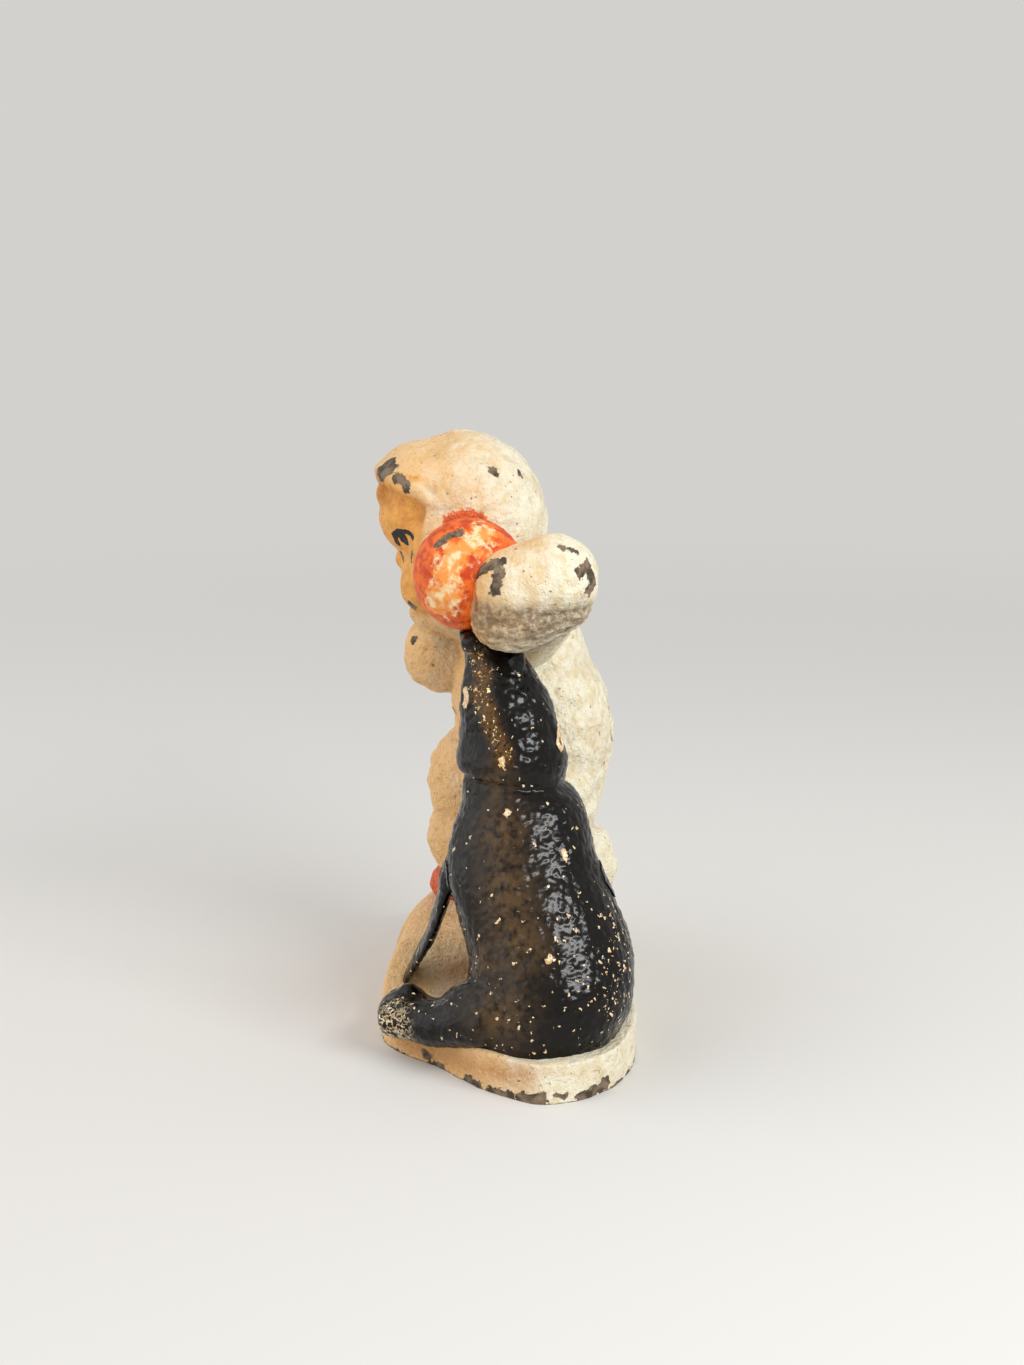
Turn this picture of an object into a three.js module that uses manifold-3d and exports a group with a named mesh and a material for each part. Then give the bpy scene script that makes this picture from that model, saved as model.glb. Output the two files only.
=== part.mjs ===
// Cast iron snow baby figurine: a hooded child in a padded snow suit stands on a snowy base and holds a
// ball against the nose of an upright seal. The child and the seal are each two hollow half castings
// that meet on one parting plane and are riveted together, and screws from below hold them to the base.
// Millimetres, +Z up. The child faces -Y and its left side is +X, where the seal sits.
// The origin is the middle of the base's flat underside.
import * as THREE from 'three';
import { mergeVertices } from 'three/addons/utils/BufferGeometryUtils.js';
import Module from 'manifold-3d';

const wasm = await Module();
wasm.setup();

// Driving dimensions of the fits and the castings
const clearance = 0.3;
const casting_wall = 2.8;
const parting_y = 0.5;

// Driving dimensions of the base
const base_length = 56.4;
const base_depth = 27;
const plate_thickness = 4.2;
const plate_edge_round = 3.2;
const plate_edge_inset = 2.2;
const bank_height = 4.2;
const bank_edge_round = 3.8;
const bank_edge_inset = 2.6;
const bank_top_x = -1;
const bank_foot_x = 8;
// Outline of the plate seen from above, as shares of half its length and half its depth, starting at
// the seal's end
const plate_outline = [
  [1, 0.267],
  [0.872, -0.178],
  [0.66, -0.548],
  [0.404, -1.007],
  [0, -1],
  [-0.426, -0.919],
  [-0.78, -0.637],
  [-1, 0.044],
  [-0.78, 0.696],
  [-0.355, 0.956],
  [0.142, 1],
  [0.546, 1],
  [0.872, 0.756],
];

// Driving dimensions of the child; heights are measured from its soles
const sole_z = plate_thickness + bank_height;
const child_x = -9.5;
// Middles of the forms of the head: [y, height]
const hood_middle = [-5.3, 45.9];
const hood_half = [10.3, 9.7, 10.5];
const brim_middle = [-9.2, 50.8];
const brim_half = [8.4, 6, 4.6];
const hood_cavity_middle = [-4.3, 45.9];
const hood_cavity_half = [6.2, 5, 6.8];
const forehead_middle = [-8.5, 46.8];
const forehead_half = [7.4, 6.4, 5.2];
const face_middle = [-4.7, 41];
const face_half = [9.2, 7.7, 8.6];
const chin_middle = [-8.6, 36.4];
const chin_half = [4.6, 3, 3];
const curl_middle = [-14.2, 49.2];
const curl_half = [2.4, 0.9, 1.4];
const nose_middle = [-11.7, 41.8];
const nose_half = [1.1, 0.9, 0.9];
// Opening of the hood, from under the chin up to the brim: [y, height, half width, half depth]
const opening_sections = [
  [-16.5, 31, 9, 10],
  [-15, 40, 9.4, 10],
  [-12, 49.8, 9.4, 9],
];
const leg_spread = 5.9;
// Torso sections from the crotch up: [y, height, half width, half depth]
const shoulder_section = [0.8, 35.4, 9, 6.9];
const torso_sections = [
  [2.4, 10.6, 5.6, 4.6],
  [2.6, 12.8, 8.4, 7.4],
  [2.8, 15.2, 9.4, 8.2],
  [2.8, 17.4, 9.8, 8.8],
  [3, 20.6, 10.4, 8.9],
  [2.7, 23.6, 10.4, 9],
  [2.1, 27.2, 10, 8.8],
  [1.5, 31.2, 9.6, 7.3],
  shoulder_section,
  [-0.6, 39.4, 7.2, 5.6],
  [-2, 42, 4, 4],
];
const cavity_floor = 19;
const cavity_ceiling = 41.5;
// Each leg: [y, height, half width, half depth, half height] of the thigh, the calf and the boot
const right_leg_lobes = [
  [-3, 14.2, 6.2, 6.8, 7.4],
  [-3.4, 7.4, 6, 6.4, 6.6],
  [-3.5, 1.6, 4.8, 6.2, 2.9],
];
const left_leg_lobes = [
  [4.3, 14.6, 6.2, 5.7, 7.4],
  [5.2, 7, 6, 7.2, 6.6],
  [4.8, 1.6, 4.8, 6.8, 2.9],
];
// Right arm of the child, bent to its chest: [x from the child's middle, y, height, radius]
const right_arm_joints = [
  [-8.6, 0.9, 35.4, 4.5],
  [-10, -2.6, 30.2, 4.4],
  [-3, -7.4, 30.4, 4.9],
];

// Driving dimensions of the ball, which lies beside the hood
const ball_radius = 6;
const ball_hood_gap = 0.7;
// Middle of the ball: [y, height above the soles]
const ball_middle = [-4.2, 42.7];
const spigot_radius = 1.3;
const spigot_length = 3.4;

// Driving dimensions of the left arm, a casting of its own, reached out this far from the child's middle
const arm_reach = 22;
const elbow_setback = 0.4;
const arm_radius = 4.8;
const grip_radius = 4.4;
const shoulder_radius = 5;
const palm_radius = 4.35;
const palm_heel_radius = 4.6;
// Points of the arm: [y, height above the soles]
const grip_middle = [0.6, 41.9];
const elbow_middle = [4.6, 42.9];
const palm_middle = [0.6, 39.5];
const palm_heel = [4.6, 41.8];
const shoulder_inset = 1;
const shoulder_y = 1.1;
const tenon_radius = 2;
const tenon_length = 4.4;
const collar_radius = 3.2;
const collar_thickness = 1.6;
const socket_boss_radius = 4.6;

// Driving dimensions of the seal; heights are measured from the plate
// Body sections from the plate up: [x, y, height, half width, half depth]
const seal_sections = [
  [16.6, 3.4, -1.4, 9.5, 8.9],
  [16.6, 3.6, 0, 9.8, 9.1],
  [16.6, 4.2, 3, 10, 9.1],
  [16.2, 4.5, 6.4, 9.8, 8.8],
  [15, 3.7, 10.4, 8.9, 8.8],
  [13.4, 1.7, 15.7, 7.9, 8.3],
  [12.2, 1.3, 19.4, 6.9, 7.5],
  [11.2, 1.4, 22.8, 6.2, 6.5],
  [10.5, 0.6, 25.4, 5.4, 5.5],
  [10.1, 0.3, 27.2, 5.7, 5.6],
  [9.7, 0.1, 30.8, 5.6, 5.5],
  [9, -0.6, 34.8, 4.5, 4.5],
  [8.2, -1.5, 38, 3.2, 3.2],
];
const snout_radius = 1.9;
const snout_shift = 0.6;
const seal_cavity_floor = 9;
const seal_cavity_ceiling = 32;
// Tail that curls to the front of the base: [x, y, height, half width, half height]
const tail_sections = [
  [20.4, 3, 5, 3, 3],
  [20, -1.4, 3, 5.2, 3.8],
  [18.2, -6, 1, 4, 2.8],
  [16.6, -8.2, 0.3, 3.6, 2.4],
  [15, -10.6, 0.9, 3.6, 2.9],
  [14, -12.4, 0.3, 3, 2.4],
  [13.5, -13.7, -0.3, 1, 1],
];
// Front flippers, each a blade from the shoulder to the plate: [x, y, height, half width, half thickness]
const front_flipper_sections = [
  [9.6, -5.2, 17, 2.2, 0.9],
  [8.8, -7.1, 13, 3.2, 0.9],
  [7, -8.5, 7.4, 2.8, 0.8],
  [5.4, -10.8, 2.6, 2.2, 0.7],
  [4.8, -11.6, 0.6, 1.2, 0.5],
];
const rear_flipper_sections = [
  [9.6, 8.4, 16, 2.2, 0.9],
  [8.8, 10.6, 12, 3.2, 0.9],
  [7.2, 11.2, 7, 2.8, 0.8],
  [5.6, 11.6, 2.6, 2.2, 0.7],
  [5, 11.8, 0.6, 1.2, 0.5],
];

// Driving dimensions of the rivets, which run along Y through both halves
const rivet_radius = 1.1;
const rivet_head_radius = 2;
const rivet_head_depth = 1.4;
const rivet_proud = 0.15;
const boss_radius = 3;
// Each rivet: [distance of its axis from the child's middle, height above the soles]
const child_rivet_place = [0.8, 22.6];
// [x of its axis, height above the plate]
const seal_rivet_place = [13, 15];

// Driving dimensions of the countersunk screws under the base
const screw_radius = 1.25;
const screw_head_radius = 2.4;
const screw_head_depth = 1.3;
const screw_recess = 0.4;
const screw_reach = 7;
const slot_width = 0.6;
const slot_depth = 0.6;
// Where the screws stand, seen from below: y under each leg, and [x, y] under the seal
const right_screw_y = -3.6;
const left_screw_y = 5.2;
const seal_screw_place = [16.5, 5.6];

// Mesh fineness
const ring_sides = 16;
const small_sides = 10;
const ball_sides = 18;
const flipper_sides = 8;
const tail_sides = 12;
const ring_steps = 14;
const seal_steps = 20;
const cavity_steps = 10;
const opening_steps = 4;
const outline_points = 44;
const edge_steps = 3;
const bank_steps = 6;
const merge_distance = 1e-4;
// Longer than anything in the model, for the blocks that cut it
const far = 100;

// Finishes
const cream_paint = { color: 0xd9c9a3, roughness: 0.5, metalness: 0 };
const black_paint = { color: 0x17161a, roughness: 0.3, metalness: 0 };
const red_paint = { color: 0xc8431f, roughness: 0.5, metalness: 0 };
const bare_iron = { color: 0x4a4440, roughness: 0.5, metalness: 0.8 };

// Places that follow from the dimensions
const half_length = base_length / 2;
const half_depth = base_depth / 2;
const arm_x = child_x + arm_reach;
const [, shoulder_height, shoulder_half_width] = shoulder_section;
const shoulder_root = child_x + shoulder_half_width;
const onChild = (x, [y, height]) => [x, y, sole_z + height];
const ball_x = child_x + hood_half[0] + ball_hood_gap + ball_radius;
const ball_centre = onChild(ball_x, ball_middle);
const elbow_point = onChild(arm_x - elbow_setback, elbow_middle);
const grip_point = onChild(arm_x, grip_middle);
const shoulder_point = onChild(shoulder_root - shoulder_inset, [shoulder_y, shoulder_height]);
const child_rivet_axis = [child_x + child_rivet_place[0], sole_z + child_rivet_place[1]];
const seal_rivet_axis = [seal_rivet_place[0], plate_thickness + seal_rivet_place[1]];
// Each screw: [x, y, height of the face that it pulls down]
const right_leg_screw = [child_x - leg_spread, right_screw_y, sole_z];
const left_leg_screw = [child_x + leg_spread, left_screw_y, sole_z];
const seal_screw = [...seal_screw_place, plate_thickness];

// Solids are joined and cut as closed meshes whose shared vertices are merged
function solid(geometry) {
  geometry.deleteAttribute('normal');
  geometry.deleteAttribute('uv');
  const closed = mergeVertices(geometry, merge_distance);
  const mesh = new wasm.Mesh({
    numProp: 3,
    vertProperties: new Float32Array(closed.attributes.position.array),
    triVerts: new Uint32Array(closed.index.array),
  });
  return new wasm.Manifold(mesh);
}

function joined(solids) {
  return solids.reduce((whole, next) => whole.add(next));
}

// An ellipsoid with the given middle and half sizes
function ellipsoid(centre, half, grow = 0, sides = ring_sides) {
  const ball = new THREE.SphereGeometry(1, sides, sides / 2);
  ball.rotateX(Math.PI / 2);
  ball.scale(half[0] + grow, half[1] + grow, half[2] + grow);
  ball.translate(...centre);
  return solid(ball);
}

// A closed form through sections [x, y, z, half, half], smoothly joined. The sections are level, or
// stand square to the path with their first half size measured along the direction across
function form(sections, grow = 0, across = null, sides = ring_sides, steps = ring_steps) {
  const path = new THREE.CatmullRomCurve3(sections.map(([x, y, z]) => new THREE.Vector3(x, y, z)));
  const sizes = new THREE.CatmullRomCurve3(sections.map(([, , , a, b]) => new THREE.Vector3(a, b, 0)));
  const outline = [new THREE.Vector2(0, 0)];
  for (let step = 0; step <= steps; step += 1) {
    outline.push(new THREE.Vector2(1, step / steps));
  }
  outline.push(new THREE.Vector2(0, 1));
  const skin = new THREE.LatheGeometry(outline, sides);
  const position = skin.attributes.position;
  const first = new THREE.Vector3(1, 0, 0);
  const second = new THREE.Vector3(0, 1, 0);
  for (let index = 0; index < position.count; index += 1) {
    const along = position.getY(index);
    const point = path.getPoint(along);
    const size = sizes.getPoint(along);
    if (across) {
      const tangent = path.getTangent(along);
      first.set(...across).addScaledVector(tangent, -tangent.dot(first)).normalize();
      second.crossVectors(tangent, first);
    }
    point.addScaledVector(first, position.getZ(index) * (size.x + grow));
    point.addScaledVector(second, position.getX(index) * (size.y + grow));
    position.setXYZ(index, point.x, point.y, point.z);
  }
  return solid(skin);
}

// A rounded bar between two points, with the radius of each end
function bar(start, end, start_radius, end_radius, sides = ring_sides) {
  const from = new THREE.Vector3(...start);
  const axis = new THREE.Vector3(...end).sub(from);
  const length = axis.length();
  const lean = Math.asin((start_radius - end_radius) / length);
  const outline = new THREE.Path();
  outline.absarc(0, 0, start_radius, -Math.PI / 2, lean);
  outline.absarc(0, length, end_radius, lean, Math.PI / 2);
  const points = outline.getPoints(sides / 4);
  points[0].x = 0;
  points[points.length - 1].x = 0;
  const skin = new THREE.LatheGeometry(points, sides);
  skin.applyQuaternion(
    new THREE.Quaternion().setFromUnitVectors(new THREE.Vector3(0, 1, 0), axis.normalize()),
  );
  skin.translate(...start);
  return solid(skin);
}

// A turned piece from its profile [radius, distance along the axis], which starts and ends on the axis
function turned(profile, start, direction, sides = small_sides) {
  const skin = new THREE.LatheGeometry(profile.map(([x, y]) => new THREE.Vector2(x, y)), sides);
  const axis = new THREE.Vector3(...direction).normalize();
  skin.applyQuaternion(new THREE.Quaternion().setFromUnitVectors(new THREE.Vector3(0, 1, 0), axis));
  skin.translate(...start);
  return solid(skin);
}

function cylinder(radius, length, start, direction) {
  const profile = [
    [0, 0],
    [radius, 0],
    [radius, length],
    [0, length],
  ];
  return turned(profile, start, direction);
}

// A block that takes away everything below a level
function everythingBelow(level) {
  const block = new THREE.BoxGeometry(2 * far, 2 * far, far);
  block.translate(0, 0, level - far / 2);
  return solid(block);
}

// A block that takes away everything on one side of the parting plane: side is 1 behind it, -1 before
function everythingBeyond(side) {
  const block = new THREE.BoxGeometry(2 * far, far, 2 * far);
  block.translate(0, parting_y + side * far / 2, 0);
  return solid(block);
}

const front_half = (casting) => casting.subtract(everythingBeyond(1));
const rear_half = (casting) => casting.subtract(everythingBeyond(-1));

// Base: a slab with a rounded upper edge, whose top slopes as a snow bank from the child to the seal.
// Grown, it is wider all round and keeps its height, for what lies on it and hangs over its edge
function slab(thickness, edge_round, edge_inset, grow = 0) {
  const corners = plate_outline.map(([x, y]) => new THREE.Vector3(x * half_length, y * half_depth, 0));
  const ring = new THREE.CatmullRomCurve3(corners, true);
  const points = ring.getPoints(outline_points).map((point) => new THREE.Vector2(point.x, point.y));
  const block = new THREE.ExtrudeGeometry(new THREE.Shape(points), {
    depth: thickness - edge_round,
    bevelThickness: edge_round,
    bevelSize: edge_inset,
    bevelOffset: grow - edge_inset,
    bevelSegments: edge_steps,
  });
  return solid(block).subtract(everythingBelow(0));
}

// The bank's side view, which falls in a smooth curve, drawn out across the whole depth of the base
function snowBank(grow = 0) {
  const side = new THREE.Shape();
  side.moveTo(-far, -far);
  side.lineTo(-far, sole_z + grow);
  for (let step = 0; step <= bank_steps; step += 1) {
    const share = step / bank_steps;
    const fall = (1 - Math.cos(Math.PI * share)) / 2;
    const x = bank_top_x + share * (bank_foot_x - bank_top_x);
    side.lineTo(x + grow, sole_z - fall * bank_height + grow);
  }
  side.lineTo(bank_foot_x + grow, -far);
  const block = new THREE.ExtrudeGeometry(side, { depth: 2 * far, bevelEnabled: false });
  block.rotateX(Math.PI / 2);
  block.translate(0, far, 0);
  return solid(block);
}

// Child
function torso(grow = 0) {
  return form(torsoSections(), grow);
}

function leg(lobes, side, grow = 0) {
  const x = child_x + side * leg_spread;
  return joined(
    lobes.map(([y, height, wide, deep, tall]) => (
      ellipsoid([x, y, sole_z + height], [wide, deep, tall], grow)
    )),
  );
}

function rightArm(grow = 0) {
  const [shoulder, elbow, mitten] = right_arm_joints.map(([x, y, height, radius]) => ({
    at: [child_x + x, y, sole_z + height],
    radius: radius + grow,
  }));
  return bar(shoulder.at, elbow.at, shoulder.radius, elbow.radius).add(
    bar(elbow.at, mitten.at, elbow.radius, mitten.radius),
  );
}

// The hood, with the face set back in its opening
function head(grow = 0) {
  const lump = (middle, half, sides) => ellipsoid(onChild(child_x, middle), half, grow, sides);
  const opening = form(
    opening_sections.map(([y, height, wide, deep]) => [child_x, y, sole_z + height, wide, deep]),
    0,
    [1, 0, 0],
    ring_sides,
    opening_steps,
  );
  const face = joined([
    lump(face_middle, face_half),
    lump(forehead_middle, forehead_half),
    lump(chin_middle, chin_half, small_sides),
    lump(curl_middle, curl_half, small_sides),
    lump(nose_middle, nose_half, small_sides),
  ]);
  return lump(hood_middle, hood_half).add(lump(brim_middle, brim_half)).subtract(opening).add(face);
}

function childForm(grow = 0) {
  return joined([
    torso(grow),
    head(grow),
    leg(right_leg_lobes, -1, grow),
    leg(left_leg_lobes, 1, grow),
    rightArm(grow),
  ]);
}

function childCavity() {
  const sections = torso_sections
    .filter(([, height]) => height > cavity_floor && height < cavity_ceiling)
    .map(([y, height, wide, deep]) => [
      child_x,
      y,
      sole_z + height,
      wide - casting_wall,
      deep - casting_wall,
    ]);
  return form(sections).add(ellipsoid(onChild(child_x, hood_cavity_middle), hood_cavity_half));
}

// Sections [x, y, z, half width, half depth] of the torso and of the seal's body, in place
function torsoSections() {
  return torso_sections.map(([y, height, wide, deep]) => [child_x, y, sole_z + height, wide, deep]);
}

function sealSections() {
  return onPlate(seal_sections);
}

// Where a line along Y at x, z meets such a body: side is -1 in front and 1 behind
function surfaceY(sections, [x, z], side) {
  const above = sections.findIndex((section) => section[2] >= z);
  const [low, high] = [sections[above - 1], sections[above]];
  const share = (z - low[2]) / (high[2] - low[2]);
  const [middle_x, middle_y, , wide, deep] = low.map((value, index) => (
    value + share * (high[index] - value)
  ));
  return middle_y + side * deep * Math.sqrt(1 - ((x - middle_x) / wide) ** 2);
}

// Rivets: a shank with a cone at each end; what stands out beyond the castings is trimmed to their shape
function rivetForm(sections, axis, grow = 0) {
  const front = surfaceY(sections, axis, -1);
  const rear = surfaceY(sections, axis, 1);
  const cone = rivet_head_radius - rivet_radius;
  const head = rivet_head_radius + grow;
  const shank = rivet_radius + grow;
  const overrun = 2 * rivet_head_depth;
  const length = rear - front + 2 * overrun;
  const seat = overrun + rivet_head_depth;
  const profile = [
    [0, 0],
    [head, 0],
    [head, seat],
    [shank, seat + cone],
    [shank, length - seat - cone],
    [head, length - seat],
    [head, length],
    [0, length],
  ];
  return turned(profile, [axis[0], front - overrun, axis[1]], [0, 1, 0]);
}

function boss([x, z]) {
  return cylinder(boss_radius, far, [x, -far / 2, z], [0, 1, 0]);
}

// Left arm: a bar from the shoulder, a forearm to the rear elbow and a palm under the ball
function armForm(grow = 0) {
  const heel = onChild(arm_x - elbow_setback, palm_heel);
  const palm = onChild(arm_x, palm_middle);
  return joined([
    bar(elbow_point, grip_point, arm_radius + grow, grip_radius + grow),
    bar(shoulder_point, elbow_point, shoulder_radius + grow, arm_radius + grow),
    bar(heel, palm, palm_heel_radius + grow, palm_radius + grow),
  ]);
}

// Tenon of the arm, whose collar is trapped between the two halves of the child
function tenonForm(grow = 0) {
  const collar_end = shoulder_root - tenon_length - clearance - collar_thickness - grow;
  const collar_length = collar_thickness + 2 * grow;
  const start = [collar_end, parting_y, sole_z + shoulder_height];
  const along = [1, 0, 0];
  const shank_length = shoulder_point[0] + shoulder_radius / 2 - collar_end;
  return cylinder(collar_radius + grow, collar_length, start, along).add(
    cylinder(tenon_radius + grow, shank_length, start, along),
  );
}

function socketBoss() {
  const seat = shoulder_root - tenon_length;
  return cylinder(socket_boss_radius, far, [seat, parting_y, sole_z + shoulder_height], [1, 0, 0]);
}

function ballForm(grow = 0) {
  return ellipsoid(ball_centre, [ball_radius, ball_radius, ball_radius], grow, ball_sides);
}

// Spigot of the ball, which points from its middle into the mitten
function spigotForm(grow = 0) {
  const direction = grip_point.map((value, index) => value - ball_centre[index]);
  const length = ball_radius + spigot_length + grow;
  return cylinder(spigot_radius + grow, length, ball_centre, direction);
}

// Seal: body and head in one form, whose snout reaches up to the underside of the ball
function sealBody(grow = 0) {
  const [x, y, z] = ball_centre;
  const snout = [x + snout_shift, y + snout_shift, z - ball_radius, snout_radius, snout_radius];
  return form([...sealSections(), snout], grow, null, ball_sides, seal_steps);
}

function onPlate(sections) {
  return sections.map(([x, y, height, a, b]) => [x, y, plate_thickness + height, a, b]);
}

function sealForm(grow = 0) {
  const limb = (sections, sides) => form(onPlate(sections), grow, [1, 0, 0], sides, sides);
  return joined([
    sealBody(grow),
    limb(tail_sections, tail_sides),
    limb(front_flipper_sections, flipper_sides),
    limb(rear_flipper_sections, flipper_sides),
  ]);
}

function sealCavity() {
  const floor = plate_thickness + seal_cavity_floor;
  const ceiling = plate_thickness + seal_cavity_ceiling;
  const sections = sealSections()
    .filter(([, , z]) => z > floor && z < ceiling)
    .map(([x, y, z, wide, deep]) => [x, y, z, wide - casting_wall, deep - casting_wall]);
  return form(sections, 0, null, tail_sides, cavity_steps);
}

// Screws: a slotted countersunk head in the underside and a shank into the casting above
function screwForm([x, y, level], grow = 0, down = 0) {
  const head = screw_head_radius + grow;
  const shank = screw_radius + grow;
  const length = level + screw_reach - screw_recess + grow;
  const profile = [
    [0, -down],
    [head, -down],
    [head, 0],
    [shank, screw_head_depth + grow],
    [shank, length],
    [0, length],
  ];
  return turned(profile, [x, y, screw_recess], [0, 0, 1]);
}

function screw(place) {
  const slot = new THREE.BoxGeometry(2 * (screw_head_radius + clearance), slot_width, 2 * slot_depth);
  slot.translate(place[0], place[1], screw_recess);
  return screwForm(place).subtract(solid(slot));
}

const screwHole = (place) => screwForm(place, clearance, screw_recess + clearance);

const screw_places = [right_leg_screw, left_leg_screw, seal_screw];
const screw_holes = joined(screw_places.map(screwHole));

const base = slab(sole_z, bank_edge_round, bank_edge_inset)
  .intersect(snowBank())
  .add(slab(plate_thickness, plate_edge_round, plate_edge_inset))
  .subtract(screw_holes);

const child_outer = childForm();
const child_hollow = childCavity().subtract(boss(child_rivet_axis)).subtract(socketBoss());
const child_casting = child_outer
  .subtract(everythingBelow(sole_z))
  .subtract(child_hollow)
  .subtract(rivetForm(torsoSections(), child_rivet_axis, clearance))
  .subtract(tenonForm(clearance))
  .subtract(screw_holes)
  .subtract(ballForm(clearance));

const left_arm = armForm()
  .subtract(childForm(clearance))
  .subtract(ballForm(clearance))
  .subtract(spigotForm(clearance))
  .add(tenonForm());

const ball = ballForm().add(spigotForm());

const seal_outer = sealForm();
const seal_hollow = sealCavity().subtract(boss(seal_rivet_axis));
const seal_casting = seal_outer
  .subtract(slab(plate_thickness, plate_edge_round, plate_edge_inset, clearance))
  .subtract(snowBank(clearance))
  .subtract(childForm(clearance))
  .subtract(armForm(clearance))
  .subtract(ballForm(clearance))
  .subtract(seal_hollow)
  .subtract(rivetForm(sealSections(), seal_rivet_axis, clearance))
  .subtract(screw_holes);

function rivet(sections, axis, outer) {
  return rivetForm(sections, axis).intersect(outer);
}

const pieces = [
  ['base', base, cream_paint],
  ['child_front', front_half(child_casting), cream_paint],
  ['child_rear', rear_half(child_casting), cream_paint],
  ['left_arm', left_arm, cream_paint],
  ['ball', ball, red_paint],
  ['seal_front', front_half(seal_casting), black_paint],
  ['seal_rear', rear_half(seal_casting), black_paint],
  ['child_rivet', rivet(torsoSections(), child_rivet_axis, childForm(rivet_proud)), cream_paint],
  ['seal_rivet', rivet(sealSections(), seal_rivet_axis, sealForm(rivet_proud)), black_paint],
  ['right_leg_screw', screw(right_leg_screw), bare_iron],
  ['left_leg_screw', screw(left_leg_screw), bare_iron],
  ['seal_screw', screw(seal_screw), bare_iron],
];

// Each solid becomes a mesh in its own colour
function geometryOf(piece) {
  const { numProp, vertProperties, triVerts } = piece.getMesh();
  const positions = new Float32Array(triVerts.length * 3);
  triVerts.forEach((vertex, corner) => {
    const start = vertex * numProp;
    positions.set(vertProperties.subarray(start, start + 3), corner * 3);
  });
  const geometry = new THREE.BufferGeometry();
  geometry.setAttribute('position', new THREE.BufferAttribute(positions, 3));
  return mergeVertices(geometry, merge_distance / 10);
}

const figurine = new THREE.Group();
for (const [name, piece, finish] of pieces) {
  const mesh = new THREE.Mesh(geometryOf(piece), new THREE.MeshStandardMaterial(finish));
  mesh.name = name;
  figurine.add(mesh);
}

export default figurine;
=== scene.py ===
# Cast iron snow baby figurine: the painted castings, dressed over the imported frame.
# The pieces are modelled in millimetres, heights from the table, and brought to metres when finished.
import math

import bmesh
import bpy
import numpy as np
from mathutils import Matrix, Vector, noise
from mathutils.kdtree import KDTree

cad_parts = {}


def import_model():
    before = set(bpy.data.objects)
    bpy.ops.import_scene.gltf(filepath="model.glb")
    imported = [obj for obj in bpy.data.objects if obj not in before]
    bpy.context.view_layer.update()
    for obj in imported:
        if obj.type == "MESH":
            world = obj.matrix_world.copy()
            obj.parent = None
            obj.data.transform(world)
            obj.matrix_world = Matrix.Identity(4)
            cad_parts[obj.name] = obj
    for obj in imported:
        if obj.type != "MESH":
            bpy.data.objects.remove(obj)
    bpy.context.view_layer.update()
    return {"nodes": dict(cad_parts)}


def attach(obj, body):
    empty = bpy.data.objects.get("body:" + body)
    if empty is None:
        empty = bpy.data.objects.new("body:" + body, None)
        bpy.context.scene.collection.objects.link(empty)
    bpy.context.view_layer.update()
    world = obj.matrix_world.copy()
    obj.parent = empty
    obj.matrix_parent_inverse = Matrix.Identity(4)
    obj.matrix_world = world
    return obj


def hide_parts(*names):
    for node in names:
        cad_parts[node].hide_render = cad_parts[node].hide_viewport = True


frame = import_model()

# Sizes shared with the solids
CHILD_X = -9.5
SOLE_Z = 8.4
PLATE_Z = 4.2
PARTING_Y = 0.5
BALL_CENTRE = (7.5, -4.2, 51.1)
BALL_RADIUS = 6.0
PLATE_OUTLINE = [
    (28.2, 3.6), (24.6, -2.4), (18.6, -7.4), (11.4, -13.6), (0, -13.5), (-12, -12.4), (-22, -8.6),
    (-28.2, 0.6), (-22, 9.4), (-10, 12.9), (4, 13.5), (15.4, 13.5), (24.6, 10.2),
]
SCREWS = [(-15.4, -3.6, SOLE_Z), (-3.6, 5.2, SOLE_Z), (16.5, 5.6, PLATE_Z)]
CHILD_RIVET = (-8.7, 31.0)
SEAL_RIVET = (13.0, 19.2)
RIVET_HEAD = 2.0
RIVET_GAP = 0.1
RIVET_PROUD = 0.15

# The skins are sampled this finely, and so many rounds of smoothing give them their inner corners
VOXEL = 0.22
SUIT_ROUNDS = 16
CRISP_ROUNDS = 8
FACE_ROUNDS = 22
HOLLOW_ROUNDS = 14
# The base is modelled this far below the table and then cut flat
UNDERCUT = 2.0
# Depth stored where a patch is far away
BLANK = -3.0
# Beyond every piece of the figurine
FAR = 200


# Building blocks: each shape is its own small mesh, and a form is a list of them
def along(rows, share):
    """The row of numbers at share, from 0 to 1, of the smooth curve through rows."""
    rows = np.array(rows, float)
    place = share * (len(rows) - 1)
    index = min(int(place), len(rows) - 2)
    t = place - index
    a, b = rows[index], rows[index + 1]
    before = rows[index - 1] if index else 2 * a - b
    after = rows[index + 2] if index + 2 < len(rows) else 2 * b - a
    cubic = 3 * a - before - 3 * b + after
    square = 2 * before - 5 * a + 4 * b - after
    return 0.5 * (2 * a + (b - before) * t + square * t * t + cubic * t ** 3)


def kept(bm):
    """The finished bmesh as a mesh whose faces look outward."""
    bmesh.ops.recalc_face_normals(bm, faces=bm.faces)
    mesh = bpy.data.meshes.new("shape")
    bm.to_mesh(mesh)
    bm.free()
    return mesh


def lump(centre, half, turn=(0, 0, 0), sides=40):
    """A rounded lump with its half sizes, turned by degrees about x, y and z."""
    turned = Matrix()
    for axis, degrees in zip("XYZ", turn):
        turned = Matrix.Rotation(math.radians(degrees), 4, axis) @ turned
    place = Matrix.Translation(centre) @ turned @ Matrix.Diagonal((*half, 1))
    bm = bmesh.new()
    bmesh.ops.create_uvsphere(bm, u_segments=sides, v_segments=sides // 2, radius=1, matrix=place)
    return kept(bm)


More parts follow.
